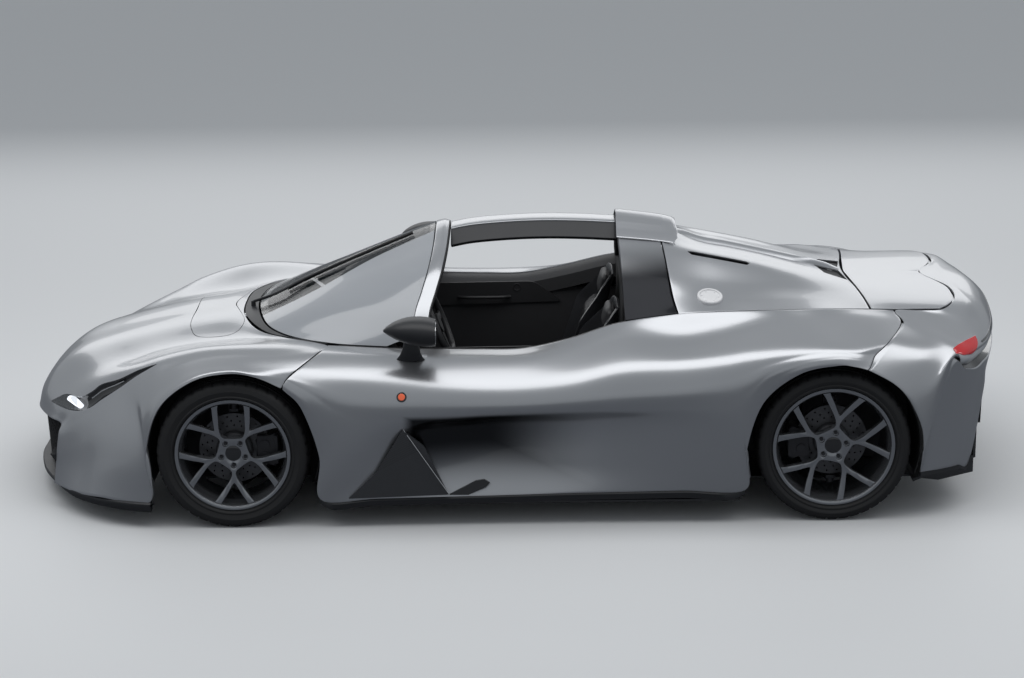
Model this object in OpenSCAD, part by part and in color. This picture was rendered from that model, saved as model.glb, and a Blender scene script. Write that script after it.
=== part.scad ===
/* [Body] */
// Distance between the axles
wheelbase = 2475; // [2400:5:2550]
// Nose to front axle
front_overhang = 940; // [900:5:980]
// Rear axle to tail
rear_overhang = 770; // [740:5:800]
// Width over the widest part of the body
body_w = 1875; // [1840:5:1910]
// Height of the roof's crown above the ground
roof_h = 1112; // [1090:2:1135]
// Thickness of the moulded outer panels
panel_t = 6; // [5:0.5:8]
// Gap between neighbouring panels
shut_gap = 5; // [4:0.5:7]

/* [Wheels] */
// Outer radius of the front tyres
front_tyre_r = 314.6; // [305:0.5:322]
// Outer radius of the rear tyres
rear_tyre_r = 317.8; // [308:0.5:325]
// Section width of the front tyres
front_tyre_w = 215; // [205:5:225]
// Section width of the rear tyres
rear_tyre_w = 255; // [245:5:265]
// Radius over the front rim flange
front_rim_r = 241; // [232:1:246]
// Radius over the rear rim flange
rear_rim_r = 254; // [245:1:258]
// Outer face of the front tyres from the centre plane
front_face_y = 893; // [885:1:898]
// Outer face of the rear tyres from the centre plane
rear_face_y = 884; // [876:1:890]
// Radius of the front wheel arches
front_arch_r = 360; // [350:1:366]
// Radius of the rear wheel arches
rear_arch_r = 365; // [352:1:370]
// Radius of the brake discs
disc_r = 150; // [140:1:152]
// Steering pivots from the centre plane
kingpin_y = 755; // [750:1:760]

/* [Cabin] */
// Half width between the tub's side walls
tub_y = 545; // [530:5:560]
// Radius of the steering wheel
helm_r = 160; // [150:5:170]

/* [Hidden] */

// Colours
silver = [0.72, 0.73, 0.74];
carbon = [0.09, 0.09, 0.10];
dark_grey = [0.20, 0.20, 0.21];
alloy = [0.55, 0.56, 0.57];
rubber = [0.06, 0.06, 0.06];

// Lengthwise stations of the body
body_l = front_overhang + wheelbase + rear_overhang;
nose_x = -body_l / 2;
front_x = nose_x + front_overhang;
rear_x = front_x + wheelbase;
tail_x = body_l / 2;

// Height of the belt line, which follows the rear wheels and their arches
fender_rise = 57.2;
belt_z = rear_tyre_r + rear_arch_r + fender_rise;

// Places on the drawing that the shape lines are given in, each with its place on the car:
// nose, axles and tail, the two sides, and ground, belt line, roof and a little over it
x_places = [[-2092.5, nose_x], [-1152.5, front_x], [1322.5, rear_x], [2092.5, tail_x]];
y_places = [[-937.5, -body_w / 2], [937.5, body_w / 2]];
z_places = [[0, 0], [740, belt_z], [1112, roof_h], [1212, roof_h + 100]];
function sx(x) = lookup(x, x_places);
function sy(y) = lookup(y, y_places);
function sz(z) = lookup(z, z_places);
function at(x, y, z) = [sx(x), sy(y), sz(z)];
function placed(row) = [for (p = row) at(p[0], p[1], p[2])];

// Wheel arch edge: angle from the front, over the top, to the rear
function front_arch(a, y) =
    [front_x - front_arch_r * cos(a), sy(y), front_tyre_r + front_arch_r * sin(a)];
function rear_arch(a, y) =
    [rear_x - rear_arch_r * cos(a), sy(y), rear_tyre_r + rear_arch_r * sin(a)];

// Smooth curve through a list of points, or of rows of points, at position u
function knot(list, i) =
    i < 0 ? 2 * list[0] - list[1]
    : i >= len(list) ? 2 * list[len(list) - 1] - list[len(list) - 2]
    : list[i];
function curve(a, b, c, d, t) =
    0.5 * (2 * b + (c - a) * t + (2 * a - 5 * b + 4 * c - d) * pow(t, 2)
        + (3 * b - a - 3 * c + d) * pow(t, 3));
function along(list, u) =
    let (i = max(0, min(len(list) - 2, floor(u))))
    curve(knot(list, i - 1), list[i], list[i + 1], knot(list, i + 2), u - i);
function steps(first, last, n) = [for (k = [0:n]) first + (last - first) * k / n];
function surface_grid(net, us, vs) =
    [for (u = us) let (row = along(net, u)) [for (v = vs) along(row, v)]];

// Both halves of a row given from the centre outwards
function mirrored(p) = [p[0], -p[1], p[2]];
function whole(row) =
    concat([for (k = [len(row) - 1:-1:1]) mirrored(row[k])], row);
function whole_net(net) = [for (row = net) whole(row)];

// Inner face of a panel, one thickness below its outer face
function unit(v) = v / norm(v);
function face_normal(g, i, j) =
    let (n = len(g) - 1, m = len(g[0]) - 1)
    unit(cross(g[min(i + 1, n)][j] - g[max(i - 1, 0)][j], g[i][min(j + 1, m)] - g[i][max(j - 1, 0)]));
function sunk(g, t) =
    [for (i = [0:len(g) - 1]) [for (j = [0:len(g[0]) - 1]) g[i][j] - t * face_normal(g, i, j)]];
function two(a, b, c, d) = [[a, b, c], [a, c, d]];
function is_open(h, i, j) = len(h) == 4 && i >= h[0] && i < h[1] && j >= h[2] && j < h[3];

// Closed curved panel of thickness t over a grid, with an optional opening of grid cells
module panel(g, t, opening = []) {
    n = len(g);
    m = len(g[0]);
    below = sunk(g, t);
    points = concat([for (row = g) for (p = row) p], [for (row = below) for (p = row) p]);
    s = n * m;
    skins = [
        for (i = [0:n - 2]) for (j = [0:m - 2]) if (!is_open(opening, i, j))
            let (a = i * m + j, b = a + m, c = b + 1, d = a + 1)
            for (f = concat(two(a, d, c, b), two(a + s, b + s, c + s, d + s))) f
    ];
    ends = [
        for (j = [0:m - 2])
            let (a = j, d = j + 1, p = (n - 1) * m + j, q = p + 1)
            for (f = concat(two(d, a, a + s, d + s), two(p, q, q + s, p + s))) f
    ];
    sides = [
        for (i = [0:n - 2])
            let (a = i * m, b = a + m, p = a + m - 1, q = p + m)
            for (f = concat(two(a, b, b + s, a + s), two(q, p, p + s, q + s))) f
    ];
    open_ends = len(opening) < 4 ? [] : [
        for (j = [opening[2]:opening[3] - 1])
            let (a = opening[0] * m + j, d = a + 1, p = opening[1] * m + j, q = p + 1)
            for (f = concat(two(a, d, d + s, a + s), two(q, p, p + s, q + s))) f
    ];
    open_sides = len(opening) < 4 ? [] : [
        for (i = [opening[0]:opening[1] - 1])
            let (a = i * m + opening[2], b = a + m, p = i * m + opening[3], q = p + m)
            for (f = concat(two(b, a, a + s, b + s), two(p, q, q + s, p + s))) f
    ];
    polyhedron(points, concat(skins, ends, sides, open_ends, open_sides), convexity = 8);
}

// Solid through a row of closed rings that follow each other along x
module loft(rings) {
    m = len(rings[0]);
    n = len(rings);
    points = [for (ring = rings) for (p = ring) p];
    walls = [
        for (k = [0:n - 2]) for (j = [0:m - 1])
            let (p = k * m + j, q = k * m + (j + 1) % m, r = q + m, s = p + m)
            for (f = two(p, s, r, q)) f
    ];
    polyhedron(points, concat(walls, [[for (j = [0:m - 1]) j]],
        [[for (j = [m - 1:-1:0]) (n - 1) * m + j]]), convexity = 4);
}

// Straight round bar from point a to point b
module rod(a, b, r) {
    d = b - a;
    translate(a)
        rotate([0, acos(d[2] / norm(d)), atan2(d[1], d[0])])
            cylinder(r = r, h = norm(d), $fn = 24);
}

// Point and outward normal of a shape net at (u, v)
function net_point(net, u, v) = along(along(net, u), v);
function net_normal(net, u, v) =
    unit(cross(net_point(net, u + 0.05, v) - net_point(net, u - 0.05, v),
        net_point(net, u, v + 0.05) - net_point(net, u, v - 0.05)));

// Upright post from height z0 up into the panel at point p
seat_gap = 0.3;
post_r = 8;
module post(p, z0) {
    translate([p[0], p[1], z0])
        cylinder(r = post_r, h = p[2] - panel_t * 0.55 - z0, $fn = 24);
}

// Level strut from y0 out into the panel at point p, on the right of the car
module strut(p, y0) {
    translate([p[0], y0, p[2]])
        rotate([-90, 0, 0]) cylinder(r = post_r, h = p[1] - panel_t * 0.55 - y0, $fn = 24);
}

// Puts children on a surface point, their z axis along the normal
module on_surface(p, n, lift) {
    translate(p + lift * n)
        rotate([0, acos(n[2]), atan2(n[1], n[0])]) children();
}

// One piece on each side of the centre plane
module both_sides() {
    children();
    mirror([0, 1, 0]) children();
}

// Shape lines of the nose, from the centre out to the arch, front to rear
nose_net = whole_net([
    placed([[-2092, 0, 321], [-2075, 200, 328], [-1990, 420, 345], [-1922, 525, 350],
        [-1928, 552, 318], [-1938, 562, 250], [-1946, 567, 175], [-1957, 572, 97]]),
    placed([[-2070, 0, 402], [-2048, 200, 406], [-1950, 415, 424], [-1862, 560, 430],
        [-1815, 625, 398], [-1806, 665, 310], [-1820, 685, 205], [-1846, 700, 100]]),
    placed([[-2000, 0, 494], [-1975, 200, 500], [-1862, 420, 506], [-1765, 585, 520],
        [-1712, 672, 470], [-1690, 742, 385], [-1700, 778, 255], [-1723, 800, 112]]),
    placed([[-1890, 0, 573], [-1868, 200, 577], [-1752, 425, 570], [-1652, 615, 582],
        [-1598, 718, 520], [-1545, 810, 420], [-1512, 865, 280], [-1502, 880, 117]]),
    concat(placed([[-1740, 0, 622], [-1718, 200, 625], [-1620, 428, 608], [-1540, 648, 636],
        [-1530, 748, 572], [-1522, 828, 470], [-1514, 874, 390]]), [front_arch(0, 887)]),
    concat(placed([[-1580, 0, 662], [-1560, 200, 664], [-1500, 430, 643], [-1445, 664, 678],
        [-1448, 762, 632], [-1449, 842, 580], [-1449, 884, 550]]), [front_arch(35, 897)]),
    concat(placed([[-1425, 0, 695], [-1408, 200, 695], [-1352, 430, 670], [-1300, 675, 717],
        [-1303, 778, 694], [-1304, 858, 668], [-1304, 894, 654]]), [front_arch(65, 904)]),
    concat(placed([[-1320, 0, 711], [-1302, 205, 710], [-1220, 430, 686], [-1152, 684, 731],
        [-1152, 790, 716], [-1152, 868, 696], [-1152, 903, 686]]), [front_arch(90, 909)]),
    concat(placed([[-1235, 0, 725], [-1215, 215, 723], [-1128, 432, 702], [-965, 665, 727],
        [-990, 785, 711], [-1018, 866, 682], [-1034, 900, 668]]), [front_arch(108, 906)]),
    concat(placed([[-1172, 0, 737], [-1152, 230, 730], [-1044, 455, 717], [-778, 608, 707],
        [-800, 735, 709], [-868, 832, 677], [-915, 872, 645]]), [front_arch(126, 893)])
]);
nose_us = steps(0, 9, 27);
nose_vs = concat(steps(0, 3, 6), [3.25], steps(4, 10, 12), [10.75], steps(11, 14, 6));
service_first = 6;
service_last = 8;
service_side = 2;

module front_clamshell() {
    color(silver) {
        panel(surface_grid(nose_net, nose_us, nose_vs), panel_t,
            [3 * service_first, 3 * service_last, 2 * (7 - service_side), 2 * (7 + service_side)]);
        both_sides() post(net_point(nose_net, 5.5, 8.63), frame_top + seat_gap);
    }
}

// Screwed service panel in the nose, inside the clamshell's opening
service_du = shut_gap / 95;
service_dv = shut_gap / 215;
module service_panel() {
    color(silver) {
        panel(surface_grid(nose_net, steps(service_first + service_du, service_last - service_du, 6),
            steps(7 - service_side + service_dv, 7 + service_side - service_dv, 12)), panel_t);
        both_sides() post(net_point(nose_net, 7, 8.62), frame_top + seat_gap);
    }
}

// Shape lines of one side, top edge to bottom edge, front to rear
side_net = [
    concat(placed([[-764, 614, 706], [-792, 737, 709], [-860, 834, 677], [-906, 874, 646],
        [-918, 882, 636], [-926, 888, 626], [-932, 891, 618]]), [front_arch(127.5, 893)]),
    concat(placed([[-650, 626, 703], [-676, 748, 704], [-740, 850, 666], [-790, 900, 612],
        [-818, 910, 582], [-834, 914, 562], [-847, 915, 544]]), [front_arch(145, 912)]),
    concat(placed([[-540, 638, 700], [-562, 760, 698], [-606, 868, 650], [-664, 916, 574],
        [-704, 926, 505], [-742, 926, 432], [-772, 920, 370]]), [front_arch(180, 912)]),
    placed([[-425, 648, 697], [-432, 766, 690], [-452, 872, 640], [-505, 924, 560],
        [-566, 932, 468], [-640, 926, 335], [-718, 914, 218], [-792, 900, 124]]),
    placed([[-300, 650, 694], [-300, 766, 684], [-306, 874, 630], [-326, 926, 560],
        [-350, 930, 478], [-385, 884, 405], [-455, 876, 262], [-560, 897, 126]]),
    placed([[-130, 648, 690], [-130, 766, 680], [-130, 876, 622], [-130, 926, 560],
        [-130, 926, 490], [-140, 836, 420], [-180, 838, 262], [-250, 892, 130]]),
    placed([[50, 643, 691], [50, 764, 682], [50, 876, 624], [50, 927, 562],
        [50, 926, 495], [50, 830, 425], [50, 842, 262], [50, 890, 135]]),
    placed([[240, 634, 728], [240, 742, 700], [250, 876, 640], [250, 929, 570],
        [250, 928, 501], [250, 856, 430], [250, 864, 262], [250, 890, 139]]),
    placed([[450, 602, 785], [450, 690, 752], [460, 872, 680], [460, 930, 584],
        [460, 931, 508], [460, 892, 440], [460, 886, 262], [460, 893, 142]]),
    placed([[690, 602, 819], [695, 690, 748], [700, 866, 690], [700, 926, 598],
        [700, 933, 514], [700, 920, 430], [700, 905, 262], [700, 895, 145]]),
    placed([[860, 601, 827], [860, 682, 766], [868, 862, 706], [880, 918, 622],
        [894, 931, 520], [915, 928, 410], [938, 914, 268], [957, 899, 147]]),
    concat(placed([[950, 600, 829], [950, 676, 780], [954, 860, 722], [958, 916, 645],
        [958, 930, 560], [958, 930, 470], [958, 925, 390]]), [rear_arch(0, 920)]),
    concat(placed([[1070, 592, 829], [1070, 672, 796], [1060, 858, 738], [1048, 910, 684],
        [1040, 924, 640], [1033, 926, 600], [1028, 925, 562]]), [rear_arch(35, 922)]),
    concat(placed([[1200, 572, 824], [1200, 665, 803], [1190, 852, 748], [1182, 900, 714],
        [1176, 916, 693], [1172, 921, 677], [1170, 923, 663]]), [rear_arch(65, 922)]),
    concat(placed([[1322, 570, 825], [1322, 652, 801], [1322, 846, 750], [1322, 892, 728],
        [1322, 910, 712], [1322, 917, 702], [1322, 920, 692]]), [rear_arch(90, 921)]),
    concat(placed([[1470, 540, 814], [1474, 636, 798], [1436, 836, 742], [1410, 884, 716],
        [1402, 900, 702], [1396, 908, 692], [1391, 913, 684]]), [rear_arch(101, 916)]),
    concat(placed([[1604, 509, 801], [1622, 608, 772], [1545, 786, 741], [1485, 850, 708],
        [1470, 876, 690], [1462, 890, 678], [1456, 900, 668]]), [rear_arch(110, 909)])
];
module side_panel() {
    color(silver)
        panel(surface_grid(side_net, steps(0, 16, 32), steps(0, 7, 14)), panel_t);
    for (u = [4.4, 7.2]) strut(net_point(side_net, u, 5.4), sy(tub_y) + tub_wall + seat_gap);
}
module body_side_left() {
    mirror([0, 1, 0]) side_panel();
}
module body_side_right() {
    side_panel();
}

// Dark panels that close the foot of each side channel
fin_path = [[3.62, 6.7, 6.95], [3.78, 5.1, 6.95], [4.25, 5.7, 6.95], [4.65, 6.3, 6.95],
    [5.05, 6.8, 6.95]];
duct_t = 5;
duct_lift = 3.9;
module side_duct_panels() {
    color(carbon)
        both_sides()
            panel(sunk([for (k = steps(0, len(fin_path) - 1, 12))
                let (p = along(fin_path, k), row = along(side_net, p[0]))
                [for (s = steps(0, 1, 4)) along(row, p[1] + s * (p[2] - p[1]))]],
                -duct_t - duct_lift), duct_t);
}

// Shape lines of the tail, from the centre out to the arch, deck edge to bottom edge
tail_net = whole_net([
    concat(placed([[1796, 0, 834], [1884, 220, 826], [1880, 400, 819], [1810, 512, 803],
        [1705, 516, 801], [1612, 518, 801], [1634, 610, 771], [1556, 790, 741]]),
        [rear_arch(111.5, 908)]),
    concat(placed([[1880, 0, 831], [1922, 220, 822], [1938, 400, 806], [1890, 522, 780],
        [1826, 584, 768], [1776, 645, 754], [1745, 725, 732], [1680, 822, 690]]),
        [rear_arch(130, 903)]),
    concat(placed([[1990, 0, 812], [1997, 220, 792], [1988, 400, 766], [1954, 532, 744],
        [1910, 622, 729], [1866, 692, 718], [1818, 770, 700], [1752, 838, 640]]),
        [rear_arch(145, 902)]),
    concat(placed([[2070, 0, 748], [2062, 220, 726], [2036, 400, 713], [1996, 542, 705],
        [1956, 632, 701], [1909, 711, 696], [1853, 781, 684], [1782, 838, 612]]),
        [rear_arch(165, 900)]),
    concat(placed([[2080, 0, 692], [2072, 220, 684], [2042, 400, 681], [2001, 551, 678],
        [1961, 637, 677], [1913, 713, 675], [1858, 782, 669], [1790, 837, 576]]),
        [rear_arch(180, 898)]),
    placed([[2032, 0, 668], [2024, 220, 667], [1992, 400, 666], [1952, 546, 666],
        [1916, 628, 667], [1878, 700, 667], [1836, 775, 660], [1792, 836, 548], [1688, 893, 288]]),
    placed([[2032, 0, 646], [2024, 220, 645], [1992, 400, 645], [1952, 546, 645],
        [1916, 628, 645], [1880, 700, 645], [1840, 775, 638], [1795, 834, 515], [1687, 888, 264]]),
    placed([[2092.5, 0, 622], [2080, 220, 618], [2046, 400, 616], [2006, 556, 613],
        [1968, 640, 610], [1925, 710, 602], [1872, 775, 580], [1802, 830, 430], [1686, 882, 240]]),
    placed([[2070, 0, 536], [2060, 220, 534], [2024, 400, 532], [1988, 560, 526],
        [1970, 655, 500], [1912, 706, 202], [1850, 770, 200], [1770, 824, 202], [1681, 872, 206]])
]);
module rear_clamshell() {
    color(silver) {
        panel(surface_grid(tail_net, steps(0, 8, 16), steps(0, 16, 32)), panel_t);
        both_sides() post(net_point(tail_net, 0.6, 9.5), beam_top + seat_gap);
    }
}

// Shape lines of the engine cover behind the roof hoop
cover_net = whole_net([
    placed([[648, 0, 1074], [652, 130, 1047], [662, 260, 1009], [675, 420, 932],
        [687, 510, 868], [703, 590, 818]]),
    placed([[812, 0, 1000], [812, 130, 996], [812, 248, 985], [812, 392, 905],
        [812, 505, 858], [812, 593, 826]]),
    placed([[950, 0, 970], [950, 130, 968], [950, 248, 959], [950, 392, 890],
        [950, 505, 852], [950, 592, 830]]),
    placed([[1083, 0, 940], [1083, 130, 938], [1083, 248, 931], [1083, 385, 878],
        [1083, 495, 850], [1083, 582, 829]]),
    placed([[1203, 0, 909], [1203, 130, 908], [1203, 246, 900], [1203, 375, 862],
        [1203, 475, 842], [1203, 563, 824]]),
    placed([[1330, 0, 876], [1330, 130, 874], [1330, 244, 867], [1330, 370, 846],
        [1330, 460, 834], [1330, 560, 824]]),
    placed([[1452, 0, 846], [1458, 130, 845], [1474, 244, 840], [1489, 370, 830],
        [1496, 450, 822], [1502, 523, 812]])
]);
module engine_cover() {
    color(silver) {
        panel(surface_grid(cover_net, steps(0, 6, 12), steps(0, 10, 20)), panel_t);
        both_sides() post(net_point(cover_net, 4.8, 7.78), frame_top + seat_gap);
    }
}

// Lid in the rear deck, hinged along its front edge
deck_net = whole_net([
    placed([[1462, 0, 844], [1466, 64, 844], [1484, 240, 839], [1499, 370, 829],
        [1506, 450, 821], [1512, 518, 811]]),
    placed([[1570, 0, 836], [1580, 64, 836], [1600, 240, 833], [1610, 370, 826],
        [1610, 450, 818], [1610, 508, 806]]),
    placed([[1680, 0, 834], [1705, 64, 833], [1740, 240, 829], [1740, 380, 823],
        [1720, 458, 816], [1705, 506, 806]]),
    placed([[1788, 0, 835], [1810, 64, 832], [1870, 230, 827], [1868, 395, 820],
        [1838, 468, 813], [1798, 505, 806]])
]);
pin_depth = 26;
deck_hinge = net_point(deck_net, 0.9, 7) - [0, 0, pin_depth];
module deck_lid() {
    color(silver) {
        panel(surface_grid(deck_net, steps(0, 3, 9), steps(0, 10, 20)), panel_t);
        both_sides() hinge_arms(deck_hinge);
    }
}

// Pin with an arm at each end, hanging from a lid, and the bracket that holds it
pin_r = 5;
pin_l = 56;
bracket_w = 20;
module hinge_arms(p) {
    translate([p[0], p[1] + pin_l / 2, p[2]])
        rotate([90, 0, 0]) cylinder(r = pin_r, h = pin_l, $fn = 24);
    for (s = [-1, 1])
        translate([p[0] - 8, p[1] + s * (pin_l / 2 - 4) - 4, p[2] - 5]) cube([16, 8, 28]);
}
module hinge_bracket(p, z0) {
    difference() {
        translate([p[0] - 11, p[1] - bracket_w / 2, z0])
            cube([22, bracket_w, p[2] + 9 - z0]);
        translate([p[0], p[1] + bracket_w, p[2]])
            rotate([90, 0, 0]) cylinder(r = pin_r + seat_gap, h = 2 * bracket_w, $fn = 24);
    }
}

// Wrap-round windscreen
screen_net = whole_net([
    placed([[-1104, 0, 748], [-1082, 215, 743], [-1024, 398, 728], [-905, 512, 713],
        [-720, 596, 707], [-520, 632, 704]]),
    placed([[-872, 0, 864], [-850, 214, 842], [-800, 424, 806], [-710, 522, 772],
        [-590, 592, 748], [-475, 631, 722]]),
    placed([[-612, 0, 974], [-600, 214, 934], [-566, 420, 884], [-530, 516, 842],
        [-480, 584, 790], [-436, 631, 735]]),
    placed([[-330, 0, 1080], [-335, 214, 1036], [-352, 396, 974], [-378, 492, 900],
        [-402, 566, 832], [-412, 631, 745]]),
    placed([[-264, 0, 1086], [-270, 214, 1040], [-287, 396, 978], [-313, 492, 903],
        [-337, 566, 834], [-347, 631, 747]])
]);
screen_t = 6;
screen_vs = steps(0, 10, 20);
module windscreen() {
    color([0.6, 0.7, 0.75, 0.35])
        panel(surface_grid(screen_net, concat(steps(0, 2.7, 9), [2.9, 3]), screen_vs), screen_t);
}

// Band behind the screen's rear edge, with a ledge under the glass and feet on the tub
band_t = 20;
ledge_t = 7;
module windscreen_frame() {
    color(silver) {
        panel(surface_grid(screen_net, [3.02, 3.1, 3.5, 4], screen_vs), band_t);
        panel(sunk(surface_grid(screen_net, [2.9, 3, 3.1], screen_vs), screen_t + seat_gap),
            ledge_t);
        both_sides()
            translate([sx(-405), sy(tub_y) + 12, sz(640) + seat_gap])
                cube([52, 55, sz(765) - sz(640)]);
    }
}

// Bar along the roof's centre, from the screen band to the hoop
roof_line = [[-263, 1078], [-162, 1096], [-6, 1108], [150, 1112], [306, 1108], [458.9, 1099]];
module roof_bar() {
    color(silver)
        panel(surface_grid(whole_net([for (p = roof_line)
            placed([[p[0], 0, p[1]], [p[0], 52, p[1] - 3], [p[0], 92, p[1] - 32],
                [p[0], 128, p[1] - 62]])]), steps(0, 5, 10), steps(0, 6, 12)), 16);
}

// Hoop behind the seats
hoop_front = [[462, 0, 1099], [462, 100, 1076], [463, 210, 1046], [466, 320, 1010],
    [468, 420, 950], [470, 490, 898], [472, 550, 836], [476, 592, 790]];
hoop_t = 26;
hoop_back = [[636, 0, 1078], [640, 100, 1056], [646, 210, 1028], [656, 320, 984],
    [664, 420, 932], [672, 490, 882], [684, 550, 842], [693, 592, 822]];
module roof_hoop() {
    color(dark_grey)
        panel(surface_grid(whole_net([placed(hoop_front), placed(hoop_back)]),
            steps(0, 1, 3), steps(0, 14, 28)), hoop_t);
    color(dark_grey)
        both_sides()
            translate([sx(490), sy(tub_y) + 18, sz(640) + seat_gap])
                cube([60, tub_wall - 28, sz(800) - sz(640)]);
}

// Air scoop on the hoop's crown
function crown_z(x) = lookup(x, [[438, 1102.4], [668, 1074.6]]);
function scoop_ring(x, half, high) =
    placed([[x, half, crown_z(x)], [x, half * 0.86, high - 8], [x, half * 0.5, high],
        [x, 0, high + 2], [x, -half * 0.5, high], [x, -half * 0.86, high - 8],
        [x, -half, crown_z(x)]]);
module roof_scoop() {
    color(silver)
        loft([scoop_ring(438, 96, 1126), scoop_ring(520, 112, 1130), scoop_ring(600, 112, 1118),
            scoop_ring(668, 84, 1084)]);
}

// Dark panel between the nose and the screen
cowl_net = whole_net([
    placed([[-1166, 0, 737], [-1145, 226, 731], [-1036, 444, 718], [-896, 527, 712],
        [-774, 598, 708]]),
    placed([[-1112, 0, 744], [-1090, 217, 739], [-1030, 402, 724], [-910, 516, 709],
        [-768, 585, 705]])
]);
module cowl_panel() {
    color(carbon)
        panel(surface_grid(cowl_net, [0, 1], steps(0, 8, 16)), panel_t);
    color(carbon)
        both_sides() post(net_point(cowl_net, 0.5, 5.6), frame_top + seat_gap);
}

// Wiper: spindle on the cowl, arm and blade along the glass
wiper_foot = net_point(cowl_net, 0.6, 3.6);
function over_glass(u, v, lift) =
    net_point(screen_net, u, v) + lift * net_normal(screen_net, u, v);
module wiper() {
    color(carbon) {
        translate(wiper_foot + [0, 0, 0.8]) cylinder(r = 9, h = 22, $fn = 24);
        rod(wiper_foot + [0, 0, 16], over_glass(1, 4.55, 16), 6);
        rod(over_glass(0.75, 4.55, 12), over_glass(2.6, 4.7, 12), 6);
    }
}

// Mirrors on stalks from the body sides
mirror_y = 856;
function mirror_ring(x, dy, dz) =
    [for (a = [0:45:315]) [sx(x), sy(mirror_y) + dy * cos(a), sz(826) + dz * sin(a)]];
mirror_foot = net_point(side_net, 3.1, 1.35);
mirror_normal = net_normal(side_net, 3.1, 1.35);
mirror_lift = -0.5;
module mirror_unit() {
    loft([mirror_ring(-470, 40, 26), mirror_ring(-430, 72, 48), mirror_ring(-370, 80, 58),
        mirror_ring(-330, 78, 60)]);
    on_surface(mirror_foot, mirror_normal, mirror_lift) cylinder(r = 12, h = 30, $fn = 24);
    rod(mirror_foot + 24 * mirror_normal, at(-400, 846, 800), 10);
}
module mirrors() {
    color(carbon) both_sides() mirror_unit();
}

// Lamp units on the nose: place along the shape lines, inner edge and outer edge
lamp_path = [[0.75, 2.35, 2.75], [1.15, 2.6, 3.35], [1.65, 2.8, 3.75], [2.3, 2.95, 3.6],
    [3.1, 3.02, 3.42], [4, 3.06, 3.2]];
lamp_t = 6;
lamp_lift = 2.4;
function lamp_grid() =
    [for (k = steps(0, len(lamp_path) - 1, 10)) let (p = along(lamp_path, k), row = along(nose_net, p[0]))
        [for (s = [0, 0.5, 1]) along(row, 7 + p[1] + s * (p[2] - p[1]))]];
module headlamps() {
    color([0.85, 0.87, 0.9])
        both_sides() panel(sunk(lamp_grid(), -lamp_lift - lamp_t), lamp_t);
}

// Lamps in the corners of the tail groove
tail_lamp_t = 14;
tail_lamp_lift = 1.6;
module tail_lamps() {
    color([0.65, 0.05, 0.05])
        both_sides()
            panel(sunk(surface_grid(tail_net, [5.12, 5.88], steps(10.5, 14, 7)),
                -tail_lamp_t - tail_lamp_lift), tail_lamp_t);
}

// Cabin tub: floor, side walls and two bulkheads
floor_z = 96;
tub_front = -860;
tub_rear = 560;
tub_wall = 50;
module tub() {
    color(carbon)
        difference() {
            translate([sx(tub_front), -sy(tub_y) - tub_wall, floor_z])
                cube([sx(tub_rear) - sx(tub_front), 2 * (sy(tub_y) + tub_wall), sz(640) - floor_z]);
            translate([sx(tub_front) + tub_wall, -sy(tub_y), floor_z + 30])
                cube([sx(tub_rear) - sx(tub_front) - 2 * tub_wall, 2 * sy(tub_y), sz(700)]);
        }
}

// Frames that carry the suspension, the panels and the lid, bolted from plates and rails
frame_wall = 12;
frame_low = 100;
frame_top = 572;
frame_h = frame_top - frame_low;
beam_top = 600;
rear_frame_x = 1250;
nose_rail = [34, 50];
side_rail = [30, 60];
top_rail = [40, 50];
module frame_plates(x0, x1) {
    both_sides()
        translate([x0, mount_y - frame_wall, frame_low]) cube([x1 - x0, frame_wall, frame_h]);
    for (x = [x0, x1 - frame_wall])
        translate([x, frame_wall + seat_gap - mount_y, frame_low])
            cube([frame_wall, 2 * (mount_y - frame_wall - seat_gap), frame_h]);
}
module rails(x0, x1, y, z, section) {
    both_sides()
        translate([x0 + seat_gap, y, z])
            cube([x1 - x0 - 2 * seat_gap, section[0], section[1]]);
}
module subframes() {
    color(dark_grey) {
        frame_plates(sx(-1560), sx(tub_front) - seat_gap);
        rails(sx(-1893), sx(-1560), 22, 120, nose_rail);
        frame_plates(sx(rear_frame_x), sx(silencer_start));
        for (z = [180, 480])
            rails(sx(tub_rear), sx(rear_frame_x), mount_y - side_rail[0] / 2, z, side_rail);
        rails(sx(silencer_start), sx(1890), mount_y - frame_wall - seat_gap - top_rail[0],
            beam_top - 80, top_rail);
        translate([sx(1890), -sy(560), beam_top - 50]) cube([36, 2 * sy(560), 50]);
        both_sides() hinge_bracket(deck_hinge, frame_top + seat_gap);
    }
}

// Flat floor between the wheels
module underbody() {
    color(carbon)
        translate([0, 0, floor_z - seat_gap - 8])
            linear_extrude(8)
                polygon([for (s = [1, -1]) for (p = s > 0
                    ? [[-1480, 500], [-800, 500], [-780, 860], [940, 860], [960, 580], [1690, 580]]
                    : [[1690, -580], [960, -580], [940, -860], [-780, -860], [-800, -500],
                        [-1480, -500]]) [sx(p[0]), sy(p[1])]]);
}

// Splitter under the nose
grille_low = 84;
splitter_edge = [[-2092.5, 0], [-2088, 120], [-2058, 280], [-2012, 420], [-1930, 580],
    [-1850, 700], [-1720, 806], [-1600, 862], [-1512, 886]];
module front_splitter() {
    color(carbon) {
        translate([0, 0, grille_low - seat_gap - 12])
            linear_extrude(12)
                polygon(concat([for (p = splitter_edge) [sx(p[0]), sy(p[1])]],
                    [[sx(-1512), sy(500)], [sx(-1512), -sy(500)]],
                    [for (k = [len(splitter_edge) - 1:-1:1])
                        [sx(splitter_edge[k][0]), -sy(splitter_edge[k][1])]]));
    }
}

// Socket for a screwed-in towing eye
tow_bore_r = 8;
tow_boss_r = 20;
tow_l = 50;
module tow_boss() {
    rotate([0, 90, 0])
        difference() {
            cylinder(r = tow_boss_r, h = tow_l, $fn = 48);
            translate([0, 0, -1]) cylinder(r = tow_bore_r, h = tow_l + 2, $fn = 48);
        }
}

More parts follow.
